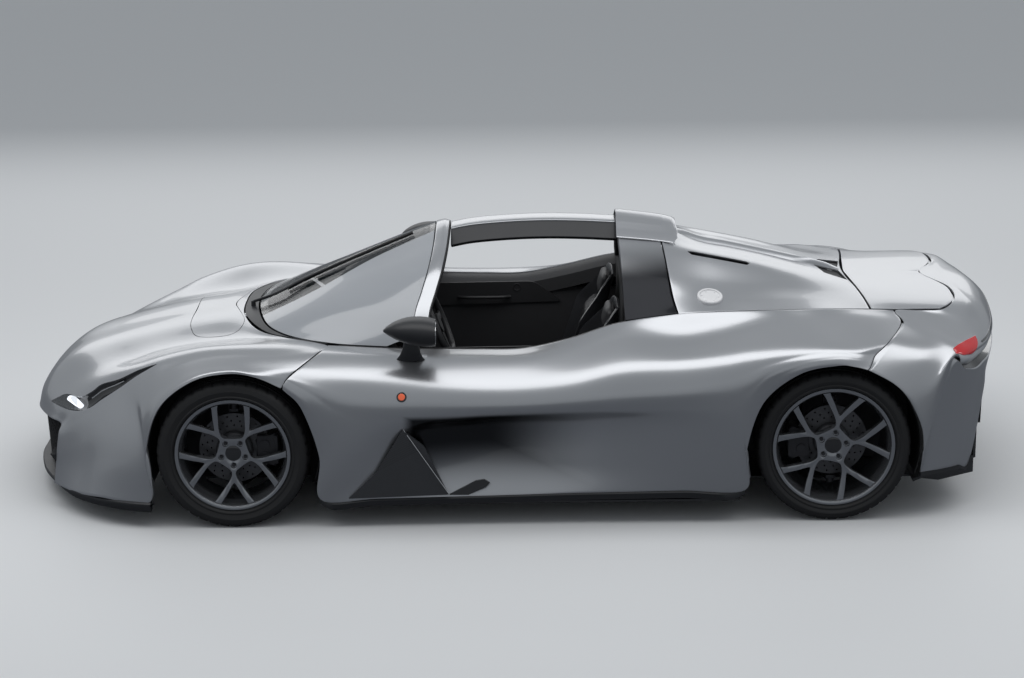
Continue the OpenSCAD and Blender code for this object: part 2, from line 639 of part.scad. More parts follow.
// Mesh frame in the nose intake
front_tow_z = 215;
module front_grille() {
    translate([sx(-1905), 0, 0])
        rotate([90, 0, 90])
            linear_extrude(12)
                difference() {
                    polygon([[-500, grille_low], [500, grille_low], [480, 335], [200, 352], [-200, 352],
                        [-480, 335]]);
                    polygon([[-470, 100], [-60, 100], [-60, 330], [-190, 330], [-455, 316]]);
                    polygon([[470, 100], [60, 100], [60, 330], [190, 330], [455, 316]]);
                    translate([0, front_tow_z]) circle(r = tow_boss_r - 2, $fn = 48);
                }
    translate([sx(-1905) - tow_l + 12, 0, front_tow_z]) tow_boss();
}

// Mesh panel under the tail
rear_tow_z = 425;
module rear_grille() {
    translate([sx(1962), 0, 0])
        rotate([90, 0, 90])
            linear_extrude(10)
                difference() {
                    polygon([[-600, 330], [600, 330], [620, 520], [-620, 520]]);
                    polygon([[-560, 350], [-30, 350], [-30, 500], [-575, 500]]);
                    polygon([[560, 350], [30, 350], [30, 500], [575, 500]]);
                    translate([0, rear_tow_z]) circle(r = tow_boss_r - 2, $fn = 48);
                }
    translate([sx(1962), 0, rear_tow_z]) tow_boss();
}
module grilles() {
    color(carbon) {
        front_grille();
        rear_grille();
    }
}

// Diffuser: rising floor with upright strakes
floor_end = sx(1690);
module rear_diffuser() {
    color(carbon) {
        difference() {
            translate([0, sy(640), 0])
                rotate([90, 0, 0])
                    linear_extrude(2 * sy(640))
                        polygon([[floor_end + seat_gap, 84], [sx(1950), 190], [sx(1950), 320],
                            [sx(1940), 320], [sx(1940), 200], [floor_end + seat_gap, 96]]);
            for (y = [-pipe_y, pipe_y])
                translate([sx(1900), y, pipe_z])
                    rotate([0, 90, 0]) cylinder(r = pipe_r + pipe_room, h = 100, $fn = 48);
        }
        for (y = [-620, -420, -220, 220, 420, 620])
            translate([0, sy(y) + 3, 0])
                rotate([90, 0, 0])
                    linear_extrude(6)
                        polygon([[sx(1720), 94], [sx(1945), 192], [sx(1945), 120], [sx(1800), 84]]);
    }
}

// Silencer with two tail pipes and the brackets of the mesh behind it
pipe_r = 44;
pipe_y = 62;
pipe_z = 262;
pipe_room = 4;
silencer_start = 1600;
silencer_l = 230;
silencer_end = silencer_start + silencer_l;
module exhaust() {
    color(alloy) {
        translate([sx(silencer_start) + seat_gap, -260, 250])
            cube([sx(silencer_end) - sx(silencer_start) - seat_gap, 520, 190]);
        for (y = [-pipe_y, pipe_y])
            translate([sx(silencer_end) - 10, y, pipe_z])
                rotate([0, 90, 0])
                    difference() {
                        cylinder(r = pipe_r, h = sx(1990) - sx(silencer_end) + 10, $fn = 48);
                        translate([0, 0, 20])
                            cylinder(r = pipe_r - 3, h = 400, $fn = 48);
                    }
        rails(sx(silencer_end), sx(1962), 200, 330, [24, 20]);
    }
}

// Engine and gearbox as one block at their real place
module engine_block() {
    color(dark_grey)
        translate([sx(700), 20 - mount_y, floor_z])
            cube([sx(1230) - sx(700), 2 * (mount_y - 20), 500]);
}

module dashboard() {
    color(carbon)
        translate([0, sy(tub_y) - seat_gap, 0])
            rotate([90, 0, 0])
                linear_extrude(2 * sy(tub_y) - 2 * seat_gap)
                    polygon([[sx(-800), 560], [sx(-800), 690], [sx(-600), 728], dash_edge,
                        dash_edge + 108 * [cos(helm_tilt), -sin(helm_tilt)], [sx(-560), 540]]);
}

// Steering wheel and column on the left, square to the face of the dashboard
helm_tilt = 68;
helm_grip = 15;
helm = [sx(-318), sy(-370), sz(892) - (helm_r + helm_grip) * sin(helm_tilt)];
dash_edge = [sx(-500), sz(700)];
column_l = ([helm[0], helm[2]] - dash_edge) * [sin(helm_tilt), cos(helm_tilt)] - seat_gap;
module steering_wheel() {
    color(carbon)
        translate(helm)
            rotate([0, helm_tilt, 0]) {
                rotate_extrude($fn = 64) translate([helm_r, 0]) circle(r = helm_grip, $fn = 20);
                translate([0, 0, -22]) cylinder(r = 44, h = 34, $fn = 40);
                for (a = [90, 210, 330])
                    rotate([0, 0, a])
                        translate([36, -14, -8])
                            cube([helm_r - 44, 28, 9]);
                translate([0, 0, -column_l]) cylinder(r = 22, h = column_l - 16, $fn = 30);
            }
}

// One bucket seat, between the tub's side wall and its middle
seat_room = 20;
seat_middle = 55;
seat_w = sy(tub_y) - seat_room - seat_middle;
module seat() {
    low = floor_z + 30 + seat_gap;
    translate([0, seat_middle + seat_w, 0])
        rotate([90, 0, 0])
            linear_extrude(seat_w)
                polygon([[sx(-150), low], [sx(-160), 250], [sx(-60), 262], [sx(180), 210],
                    [sx(300), 240], [sx(400), 640], [sx(430), 790], [sx(480), 790],
                    [sx(490), 640], [sx(420), 200], [sx(330), low]]);
}
module seats() {
    color(dark_grey) both_sides() seat();
}

// Filler cap on the left of the engine cover
cap_r = 54;
cap_lift = 4.1;
module fuel_cap() {
    color(alloy)
        on_surface(net_point(cover_net, 1.1, 1.3), net_normal(cover_net, 1.1, 1.3), cap_lift)
            cylinder(r = cap_r, h = 10, $fn = 48);
}

// Liners in the four wheel arches
liner_t = 4;
module liner(x, z, r, y_in, y_out) {
    difference() {
        translate([x, y_out, z])
            rotate([90, 0, 0])
                difference() {
                    cylinder(r = r, h = y_out - y_in, $fn = 64);
                    translate([0, 0, -1]) cylinder(r = r - liner_t, h = y_out - y_in - 4, $fn = 64);
                    translate([-r - 10, -r - 10, -2])
                        cube([2 * r + 20, r - 30, y_out - y_in + 10]);
                    translate([-160, -60, y_out - y_in - 20]) cube([320, 292, 40]);
                }
        translate([sx(tub_front) - seat_gap, 0, 0])
            cube([sx(tub_rear) - sx(tub_front), sy(tub_y) + tub_wall + seat_gap, sz(700)]);
    }
    translate([x - 20, mount_y + seat_gap, z + 234])
        cube([40, y_in - mount_y + 2, 16]);
}
module wheel_liners() {
    color(rubber)
        both_sides() {
            liner(front_x, front_tyre_r, front_arch_r - 4, 515, 820);
            liner(rear_x, rear_tyre_r, rear_arch_r - 4, 520, 830);
        }
}

// Tyre about the y axis, outer face at face_y
module tyre(x, r, w, rim_r, face_y, side) {
    h = w / 2;
    color(rubber)
        translate([x, side * (face_y - h), r])
            rotate([90, 0, 0])
                rotate_extrude($fn = 96)
                    polygon([[rim_r - 13.6, -h + 24.6], [rim_r + 0.4, -h + 22.4], [rim_r + 4, -h + 8],
                        [(r + rim_r) / 2, -h],
                        [r - 22, -h + 3], [r - 5, -h + 14], [r, -h + 34], [r, h - 34],
                        [r - 5, h - 14], [r - 22, h - 3], [(r + rim_r) / 2, h],
                        [rim_r + 4, h - 8], [rim_r + 0.4, h - 22.4], [rim_r - 13.6, h - 24.6]]);
}

// Five forked spokes, barrel and hub
spoke_fork = 0.56;
module spoke(r) {
    intersection() {
        linear_extrude(24)
            polygon([[52, -24], [r * spoke_fork, -19], [r * 0.93, -r * 0.315], [r * 0.97, -r * 0.235],
                [r * 0.68, -4], [r * 0.68, 4], [r * 0.97, r * 0.235], [r * 0.93, r * 0.315],
                [r * spoke_fork, 19], [52, 24]]);
        cylinder(r = r - 23.8, h = 24, $fn = 96);
    }
}
module rim(x, z, r, w, face_y, side, turn) {
    h = w / 2;
    color(alloy)
        translate([x, side * (face_y - h), z])
            rotate([90, 0, 0])
                mirror([0, 0, side > 0 ? 1 : 0]) {
                    rotate_extrude($fn = 96)
                        polygon([[r, h - 14], [r, h - 22], [r - 14, h - 24], [r - 26, h - 60],
                            [r - 26, 22 - h + 10], [r - 14, 24 - h], [r, 22 - h], [r, 14 - h],
                            [r - 18, 14 - h], [r - 34, 30 - h], [r - 34, h - 60],
                            [r - 20, h - 14]]);
                    for (a = [0:72:288])
                        rotate([0, 0, a + turn])
                            translate([0, 0, h - 52])
                                spoke(r);
                    translate([0, 0, h - 78]) cylinder(r = 72, h = 46, $fn = 60);
                }
}

// Brake disc with its bell and stub axle
stub_r = 30;
module disc(x, z, face_y, side) {
    color(alloy)
        translate([x, side * (face_y - 79), z])
            rotate([90, 0, 0])
                mirror([0, 0, side > 0 ? 1 : 0]) {
                    translate([0, 0, -66]) cylinder(r = disc_r, h = 26, $fn = 72);
                    translate([0, 0, -66]) cylinder(r = 76, h = 67 - seat_gap, $fn = 60);
                    translate([0, 0, -142]) cylinder(r = stub_r, h = 100, $fn = 60);
                }
}

// Upright with its bearing, ears for the ball joints and brake caliper
disc_in = 79 + 66;
ear_low = 155;
ear_high = 167;
module upright(x, z, face_y) {
    yd = face_y - disc_in;
    difference() {
        union() {
            translate([x, yd - 8, z]) rotate([90, 0, 0]) cylinder(r = 52, h = 60, $fn = 48);
            translate([x - 30, yd - 60, z - ear_high]) cube([60, 30, 2 * ear_high]);
            for (s = [-1, 1])
                translate([x - 18, yd - 34, z + (s > 0 ? ear_low : -ear_high)])
                    cube([36, kingpin_y - yd + 50, ear_high - ear_low]);
            translate([x + 20, yd - 42, z - 40]) cube([150, 26, 80]);
            translate([x + 96, yd - 42, z - 60]) cube([84, 36, 120]);
            translate([x + disc_r + 8, yd - 42, z - 60]) cube([22, 104, 120]);
            translate([x + 96, yd + 32, z - 60]) cube([84, 30, 120]);
        }
        translate([x, yd, z]) rotate([90, 0, 0]) cylinder(r = stub_r + seat_gap, h = 80, $fn = 60);
        translate([x, kingpin_y, z - 200]) cylinder(r = ball_r + seat_gap, h = 400, $fn = 32);
    }
}
module knuckle_left() {
    color(dark_grey) mirror([0, 1, 0]) upright(front_x, front_tyre_r, front_face_y);
}
module knuckle_right() {
    color(dark_grey) upright(front_x, front_tyre_r, front_face_y);
}

// Wishbone from the frame out to a ball joint above or below the upright
arm_r = 9;
ball_r = 6;
mount_z = 205;
mount_y = sy(350);
module wishbone(x, z, up, spread) {
    rod_z = z + up * (ear_high + 14);
    inner_z = z + up * mount_z;
    for (s = [-1, 1]) {
        rod([x + s * spread, mount_y + 12, inner_z], [x, kingpin_y, rod_z], arm_r);
        translate([x + s * spread - 15, mount_y + 12 + seat_gap, inner_z])
            rotate([0, 90, 0]) cylinder(r = 12, h = 30, $fn = 32);
    }
    translate([x, kingpin_y, z + up * (ear_high + seat_gap)])
        mirror([0, 0, up > 0 ? 0 : 1]) cylinder(r = 15, h = 20, $fn = 32);
    translate([x, kingpin_y, z + up * (ear_low + 2)])
        mirror([0, 0, up > 0 ? 0 : 1]) cylinder(r = ball_r, h = 20, $fn = 32);
}
module suspension() {
    color(dark_grey)
        both_sides() {
            for (up = [-1, 1]) wishbone(front_x, front_tyre_r, up, 120);
            for (up = [-1, 1]) wishbone(rear_x, rear_tyre_r, up, 55);
            translate([2 * rear_x, 0, 0])
                mirror([1, 0, 0])
                    upright(rear_x, rear_tyre_r, rear_face_y);
        }
}

tub();
underbody();
front_splitter();
front_clamshell();
service_panel();
grilles();
body_side_left();
body_side_right();
side_duct_panels();
rear_clamshell();
engine_cover();
deck_lid();
rear_diffuser();
exhaust();
engine_block();
windscreen();
windscreen_frame();
roof_bar();
roof_hoop();
roof_scoop();
cowl_panel();
wiper();
mirrors();
headlamps();
tail_lamps();
dashboard();
steering_wheel();
seats();
fuel_cap();
wheel_liners();
subframes();
suspension();
knuckle_left();
knuckle_right();
disc(front_x, front_tyre_r, front_face_y, -1);  // disc_front_left
disc(front_x, front_tyre_r, front_face_y, 1);  // disc_front_right
disc(rear_x, rear_tyre_r, rear_face_y, -1);  // disc_rear_left
disc(rear_x, rear_tyre_r, rear_face_y, 1);  // disc_rear_right
tyre(front_x, front_tyre_r, front_tyre_w, front_rim_r, front_face_y, -1);  // tyre_front_left
tyre(front_x, front_tyre_r, front_tyre_w, front_rim_r, front_face_y, 1);  // tyre_front_right
tyre(rear_x, rear_tyre_r, rear_tyre_w, rear_rim_r, rear_face_y, -1);  // tyre_rear_left
tyre(rear_x, rear_tyre_r, rear_tyre_w, rear_rim_r, rear_face_y, 1);  // tyre_rear_right
rim(front_x, front_tyre_r, front_rim_r, front_tyre_w, front_face_y, -1, -90);  // rim_front_left
rim(front_x, front_tyre_r, front_rim_r, front_tyre_w, front_face_y, 1, -90);  // rim_front_right
rim(rear_x, rear_tyre_r, rear_rim_r, rear_tyre_w, rear_face_y, -1, 80);  // rim_rear_left
rim(rear_x, rear_tyre_r, rear_rim_r, rear_tyre_w, rear_face_y, 1, 80);  // rim_rear_right
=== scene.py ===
"""Looks of an open two-seat sports car in silver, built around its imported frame.

Lengths are metres, except in the tables of shape lines, which are in millimetres.
The nose points to -X, the driver's side is -Y and the ground is z = 0.
"""

import logging
import math
from collections.abc import Callable, Iterable, Sequence
from dataclasses import dataclass, field, replace
from enum import Enum

import bpy
import numpy as np
from mathutils import Matrix, Vector

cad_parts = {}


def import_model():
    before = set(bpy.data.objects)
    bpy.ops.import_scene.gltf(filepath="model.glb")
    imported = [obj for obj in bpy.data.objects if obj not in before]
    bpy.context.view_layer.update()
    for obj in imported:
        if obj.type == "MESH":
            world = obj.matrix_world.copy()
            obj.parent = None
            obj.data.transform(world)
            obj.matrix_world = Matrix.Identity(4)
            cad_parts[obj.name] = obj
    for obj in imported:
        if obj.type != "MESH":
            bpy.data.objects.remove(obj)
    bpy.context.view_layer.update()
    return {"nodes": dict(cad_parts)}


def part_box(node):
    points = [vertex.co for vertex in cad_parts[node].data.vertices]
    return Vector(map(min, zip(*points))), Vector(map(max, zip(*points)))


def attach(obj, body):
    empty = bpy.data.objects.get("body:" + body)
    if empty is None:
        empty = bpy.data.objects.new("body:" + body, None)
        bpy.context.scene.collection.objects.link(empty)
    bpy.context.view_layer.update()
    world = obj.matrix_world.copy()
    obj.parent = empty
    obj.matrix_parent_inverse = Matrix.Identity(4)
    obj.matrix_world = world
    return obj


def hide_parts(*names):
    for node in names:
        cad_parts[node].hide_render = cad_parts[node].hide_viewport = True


LOG = logging.getLogger("sports_car")
MM = 0.001
CHASSIS = "chassis"
Point = tuple[float, float, float]
Pair = tuple[float, float]
Outline = Sequence[Pair]


class Side(Enum):
    """Sides of the car, seen by its driver."""

    LEFT = -1
    RIGHT = 1

    @property
    def word(self) -> str:
        """Name of the side in piece names."""
        return self.name.lower()


class Cut(Enum):
    """What a cutter leaves of a piece."""

    REST = "DIFFERENCE"
    SHARED = "INTERSECT"


def steps(first: float, last: float, count: int) -> np.ndarray:
    """Evenly spaced values from first to last, both included."""
    return np.linspace(first, last, count)


def turns(count: int) -> np.ndarray:
    """Angles once around, with the first one not repeated at the end."""
    return steps(0, 2 * math.pi, count + 1)[:-1]


def unit(vectors: np.ndarray) -> np.ndarray:
    """Vectors brought to length one."""
    return vectors / np.linalg.norm(vectors, axis=-1, keepdims=True)


def squarish(values: np.ndarray, power: float) -> np.ndarray:
    """Sines or cosines raised to a power with their sign kept, for soft-cornered sections."""
    return np.sign(values) * np.abs(values) ** power


def between(first: np.ndarray, last: np.ndarray, count: int) -> np.ndarray:
    """Count rows of points that go over from one edge to the other."""
    share = steps(0, 1, count)[:, None, None]
    return first[None] * (1 - share) + last[None] * share


def spline(points: np.ndarray, at: np.ndarray) -> np.ndarray:
    """Smooth curve through points."""
    points = np.asarray(points, float)
    padded = np.concatenate([[2 * points[0] - points[1]], points, [2 * points[-1] - points[-2]]])
    at = np.asarray(at, float)
    index = np.clip(np.floor(at).astype(int), 0, len(points) - 2)
    t = (at - index).reshape((-1,) + (1,) * (points.ndim - 1))
    a, b, c, d = (padded[index + k] for k in range(4))
    return 0.5 * (
        2 * b + (c - a) * t + (2 * a - 5 * b + 4 * c - d) * t**2 + (3 * b - a - 3 * c + d) * t**3
    )


def rounded(corners: Outline, radius: float, count: int = 6) -> np.ndarray:
    """A closed flat outline with every corner rounded by an arc-like curve."""
    p = np.array(corners, float)
    out = []
    for here, before, after in zip(p, np.roll(p, 1, axis=0), np.roll(p, -1, axis=0)):
        a, b = before - here, after - here
        reach_a, reach_b = (min(radius, 0.45 * np.linalg.norm(s)) / np.linalg.norm(s) for s in (a, b))
        for t in steps(0, 1, count):
            out.append(here + (1 - t) ** 2 * reach_a * a + t**2 * reach_b * b)
    return np.array(out)


@dataclass
class ShapeNet:
    """Shape lines of a panel: rows of knots in millimetres, each row from the centre outwards."""

    rows: Sequence[Sequence[Point]]
    both_halves: bool = True
    knots: np.ndarray = field(init=False)

    def __post_init__(self) -> None:
        """Mirrors the rows where the panel spans the car."""
        half = np.array(self.rows, float) * MM
        if self.both_halves:
            left = half[:, :0:-1] * np.array([1, -1, 1])
            half = np.concatenate([left, half], axis=1)
        self.knots = half

    @property
    def middle(self) -> int:
        """Column of the centre line."""
        return len(self.rows[0]) - 1

    def grid(self, us: Sequence[float], vs: Sequence[float]) -> np.ndarray:
        """Points of the surface at rows us and columns vs."""
        rows = spline(self.knots, us)
        return spline(rows.transpose(1, 0, 2), vs).transpose(1, 0, 2)

    def point(self, u: float, v: float) -> np.ndarray:
        """One point of the surface."""
        return self.grid([u], [v])[0, 0]

    def points(self, places: Iterable[Pair]) -> np.ndarray:
        """Points of the surface at places of row and column."""
        return np.array([self.point(u, v) for u, v in places])

    def normal(self, u: float, v: float) -> np.ndarray:
        """Outward normal of the surface."""
        near = self.grid([u - 0.03, u + 0.03], [v - 0.03, v + 0.03])
        return unit(np.cross(near[1, 0] - near[0, 0], near[0, 1] - near[0, 0]))


def grid_normals(grid: np.ndarray) -> np.ndarray:
    """Outward normals of a grid of points."""
    return unit(np.cross(np.gradient(grid, axis=0), np.gradient(grid, axis=1)))


def raised(grid: np.ndarray, lift: float) -> np.ndarray:
    """A grid of points moved along its own normals by lift."""
    return grid + lift * grid_normals(grid)


def deselect_all() -> None:
    """Leaves object mode with nothing selected."""
    if bpy.context.object and bpy.context.object.mode != "OBJECT":
        bpy.ops.object.mode_set(mode="OBJECT")
    bpy.ops.object.select_all(action="DESELECT")


def choose(obj: bpy.types.Object) -> None:
    """Makes one object the only selected and active one."""
    deselect_all()
    obj.select_set(True)
    bpy.context.view_layer.objects.active = obj


def rename(obj: bpy.types.Object, name: str) -> None:
    """Names an object and its mesh."""
    obj.name = name
    obj.data.name = name


def points_of(obj: bpy.types.Object) -> np.ndarray:
    """The points of an object's mesh."""
    points = np.empty(len(obj.data.vertices) * 3)
    obj.data.vertices.foreach_get("co", points)
    return points.reshape(-1, 3)


def move_points(obj: bpy.types.Object, points: np.ndarray) -> None:
    """Puts the points of an object's mesh in new places."""
    obj.data.vertices.foreach_set("co", np.ascontiguousarray(points).ravel())
    obj.data.update()


def in_edit_mode(obj: bpy.types.Object, work: Callable[[], None]) -> None:
    """Runs edit operators on all of an object's mesh."""
    choose(obj)
    bpy.ops.object.mode_set(mode="EDIT")
    bpy.ops.mesh.select_all(action="SELECT")
    work()
    bpy.ops.object.mode_set(mode="OBJECT")


def clean_mesh(obj: bpy.types.Object, merge: float = 1e-5) -> None:
    """Merges doubled points and turns all faces outwards."""

    def work() -> None:
        """The operators, in edit mode."""
        bpy.ops.mesh.remove_doubles(threshold=merge)
        bpy.ops.mesh.dissolve_degenerate(threshold=merge)
        bpy.ops.mesh.select_all(action="SELECT")
        bpy.ops.mesh.normals_make_consistent(inside=False)

    in_edit_mode(obj, work)


def smooth(obj: bpy.types.Object, angle: float = 35.0) -> None:
    """Shades smoothly over edges flatter than angle, in degrees."""
    choose(obj)
    bpy.ops.object.shade_smooth_by_angle(angle=math.radians(angle))


def apply_all(obj: bpy.types.Object) -> None:
    """Applies every modifier of an object in order."""
    choose(obj)
    for name in [m.name for m in obj.modifiers]:
        bpy.ops.object.modifier_apply(modifier=name)


def bevel(obj: bpy.types.Object, width: float, segments: int = 3, angle: float = 30.0) -> None:
    """Rounds an object's edges."""
    mod = obj.modifiers.new("edge", "BEVEL")
    mod.width = width
    mod.segments = segments
    mod.limit_method = "ANGLE"
    mod.angle_limit = math.radians(angle)
    apply_all(obj)


def lattice(name: str, points: np.ndarray) -> bpy.types.Object:
    """A sheet of four-sided faces through a grid of points."""
    rows, columns = points.shape[:2]
    deselect_all()
    bpy.ops.mesh.primitive_grid_add(x_subdivisions=rows - 1, y_subdivisions=columns - 1, size=1)
    obj = bpy.context.object
    rename(obj, name)
    move_points(obj, points.transpose(1, 0, 2))
    return obj


def closed_lattice(name: str, points: np.ndarray, angle: float) -> bpy.types.Object:
    """A body through a grid of points whose edges meet."""
    obj = lattice(name, points)
    clean_mesh(obj)
    smooth(obj, angle)
    return obj


def panel(name: str, grid: np.ndarray, wall: float, edge: float = 0.0012) -> bpy.types.Object:
    """A curved panel of even wall over a grid of points."""
    obj = lattice(name, grid)
    solid = obj.modifiers.new("wall", "SOLIDIFY")
    solid.thickness = wall
    solid.offset = -1
    apply_all(obj)
    if edge:
        bevel(obj, edge, 2, 55)
    smooth(obj)
    return obj


def lathe(
    name: str, profile: Outline, centre: Point, segments: int = 96, closed: bool = True, angle: float = 32
) -> bpy.types.Object:
    """A body turned about a line across the car.

    Args:
        name: name of the new piece.
        profile: points of radius and distance outwards from the centre.
        centre: point on the axis that the distances start from.
        segments: steps around.
        closed: whether the profile is a closed ring.
        angle: edges flatter than this many degrees are shaded smoothly.

    Returns:
        The turned object.
    """
    ring = np.array([*profile, profile[0]] if closed else profile)
    turn = steps(0, 2 * math.pi, segments + 1)
    grid = np.empty((segments + 1, len(ring), 3))
    grid[..., 0] = centre[0] + np.outer(np.cos(turn), ring[:, 0])
    grid[..., 1] = centre[1] + ring[:, 1]
    grid[..., 2] = centre[2] + np.outer(np.sin(turn), ring[:, 0])
    return closed_lattice(name, grid, angle)


def loft(name: str, rings: Sequence) -> bpy.types.Object:
    """A closed body through rings of points, with flat ends."""
    rings = np.asarray(rings)
    rings = np.concatenate([rings, rings[:, :1]], axis=1)
    ends = [np.repeat(rings[i].mean(axis=0)[None, None], rings.shape[1], axis=1) for i in (0, -1)]
    return closed_lattice(name, np.concatenate([ends[0], rings, ends[1]]), 40)


def block(name: str, low: Point, high: Point, edge: float = 0.004) -> bpy.types.Object:
    """A box between two corners with rounded edges."""
    deselect_all()
    low_v, high_v = Vector(low), Vector(high)
    bpy.ops.mesh.primitive_cube_add(size=1, location=(low_v + high_v) / 2)
    obj = bpy.context.object
    rename(obj, name)
    obj.scale = high_v - low_v
    bpy.ops.object.transform_apply(location=True, rotation=False, scale=True)
    bevel(obj, edge)
    smooth(obj)
    return obj


def drum(name: str, radius: float, depth: float, edge: float, place: Matrix) -> bpy.types.Object:
    """A short round drum with rounded edges."""
    deselect_all()
    bpy.ops.mesh.primitive_cylinder_add(vertices=48, radius=radius, depth=depth)
    obj = bpy.context.object
    rename(obj, name)
    obj.data.transform(place)
    bevel(obj, edge)
    smooth(obj)
    return obj


def mesh_piece(name: str, points: np.ndarray, faces: list[tuple[int, ...]], angle: float) -> bpy.types.Object:
    """A closed piece from points and faces, cleaned and turned outwards."""
    deselect_all()
    mesh = bpy.data.meshes.new(name)
    mesh.from_pydata([tuple(map(float, p)) for p in points], [], faces)
    obj = bpy.data.objects.new(name, mesh)
    bpy.context.collection.objects.link(obj)
    clean_mesh(obj)
    smooth(obj, angle)
    return obj


def tubes(name: str, paths: Sequence[np.ndarray], radius: float, sides: int = 8) -> bpy.types.Object:
    """Many round bars with closed ends, as one piece.

    Args:
        name: name of the new piece.
        paths: the middle line of each bar.
        radius: radius of the bars.
        sides: sides of a bar's section.

    Returns:
        The new object.
    """
    points, faces = [], []
    turn = turns(sides)[:, None]
    for path in map(np.asarray, paths):
        tangent = unit(np.gradient(path, axis=0))
        lead = np.eye(3)[np.abs(tangent).max(axis=0).argmin()]
        across = unit(np.cross(tangent, lead))
        above = np.cross(across, tangent)
        first = len(points)
        for p, a, b in zip(path, across, above):
            points.extend(p + radius * (np.cos(turn) * a + np.sin(turn) * b))
        for i in range(len(path) - 1):
            for k in range(sides):
                a, b = first + i * sides + k, first + i * sides + (k + 1) % sides
                faces.append((a, b, b + sides, a + sides))
        last = first + (len(path) - 1) * sides
        faces.append(tuple(range(first + sides - 1, first - 1, -1)))
        faces.append(tuple(range(last, last + sides)))
    return mesh_piece(name, np.array(points), faces, 40)


def prism(name: str, outline: np.ndarray, up: np.ndarray, down: np.ndarray) -> bpy.types.Object:
    """A closed body between an outline moved by up and the same outline moved by down."""
    n = len(outline)
    faces = [(k, (k + 1) % n, n + (k + 1) % n, n + k) for k in range(n)]
    faces += [tuple(range(n)), tuple(range(2 * n - 1, n - 1, -1))]
    return mesh_piece(name, np.vstack([outline + up, outline + down]), faces, 30)


def net_prism(
    name: str, net: ShapeNet, corners: Outline, radius: float, out: float, inwards: float
) -> bpy.types.Object:
    """A body that stands square through a surface.

    Args:
        name: name of the new piece.
        net: the surface.
        corners: its outline's corners, as places on the surface.
        radius: rounding of the corners, in places.
        out: how far it goes out of the surface.
        inwards: how far it goes in.

    Returns:
        The new object.
    """
    flat = rounded(corners, radius)
    normals = np.array([net.normal(u, v) for u, v in flat])
    return prism(name, net.points(flat), out * normals, -inwards * normals)


def cut(obj: bpy.types.Object, tool: bpy.types.Object, leaves: Cut = Cut.REST) -> None:
    """Cuts a piece with a tool, which goes."""
    mod = obj.modifiers.new("cut", "BOOLEAN")
    mod.operation = leaves.value
    mod.solver = "EXACT"
    mod.object = tool
    apply_all(obj)
    bpy.data.objects.remove(tool)


def joined(name: str, parts: list[bpy.types.Object]) -> bpy.types.Object:
    """Several meshes as one object."""
    choose(parts[0])
    for part in parts[1:]:
        part.select_set(True)
    bpy.ops.object.join()
    rename(bpy.context.object, name)
    return bpy.context.object


def copied(obj: bpy.types.Object, name: str) -> bpy.types.Object:
    """A copy of a piece with its own mesh."""
    twin = obj.copy()
    twin.data = obj.data.copy()
    rename(twin, name)
    bpy.context.collection.objects.link(twin)
    return twin


def mirrored(obj: bpy.types.Object) -> bpy.types.Object:
    """A copy of a right-hand piece on the car's left side."""
    name = obj.name.replace("right", "left") if "right" in obj.name else f"{obj.name}_left"
    twin = copied(obj, name)
    move_points(twin, points_of(twin) * np.array([1, -1, 1]))
    in_edit_mode(twin, lambda: bpy.ops.mesh.flip_normals())
    return twin


def padded_block(name: str, rings: np.ndarray, cap: float, voxel: float = 0.006) -> bpy.types.Object:
    """An upholstered pad: a closed form swollen by a cloth run, within a cap on how far it moves."""
    obj = loft(name, rings)
    cells = obj.modifiers.new("cells", "REMESH")
    cells.mode = "VOXEL"
    cells.voxel_size = voxel
    apply_all(obj)
    swell(obj, cap)
    soften = obj.modifiers.new("soften", "SMOOTH")
    soften.iterations = 4
    apply_all(obj)
    smooth(obj, 60)
    return obj


def swell(obj: bpy.types.Object, cap: float, frames: int = 20) -> None:
    """Blows a closed form up as cloth."""
    start = points_of(obj)
    cloth = obj.modifiers.new("swell", "CLOTH")
    cloth.settings.use_pressure = True
    cloth.settings.uniform_pressure_force = 4
    cloth.settings.effector_weights.gravity = 0
    scene = bpy.context.scene
    for run in (scene, cloth.point_cache):
        run.frame_start, run.frame_end = 1, frames
    for frame_number in range(1, frames + 1):
        scene.frame_set(frame_number)
    apply_all(obj)
    scene.frame_set(1)
    shift = points_of(obj) - start
    far = np.linalg.norm(shift, axis=1, keepdims=True)
    move_points(obj, start + shift * np.minimum(1, cap / np.maximum(far, 1e-9)))


def dress(obj: bpy.types.Object, finish: bpy.types.Material) -> None:
    """Gives an object one finish all over."""
    obj.data.materials.clear()
    obj.data.materials.append(finish)


def mount(
    obj: bpy.types.Object, finish: bpy.types.Material, slot: str, *nodes: str, body: str = CHASSIS
) -> None:
    """Gives a piece its finish, hangs it on its body and hides the frame's nodes that it replaces."""
    dress(obj, finish)
    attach(obj, body)
    if nodes:
        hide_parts(*nodes)


def mount_pair(
    right: bpy.types.Object, finish: bpy.types.Material, slot: str, *nodes: str, body: str = CHASSIS
) -> list[bpy.types.Object]:
    """Mounts a right-hand piece and its copy on the left."""
    pair = [right, mirrored(right)]
    for obj, word in zip(pair, ("right", "left")):
        mount(obj, finish, slot, *(node.format(word) for node in nodes), body=body.format(word))
    return pair


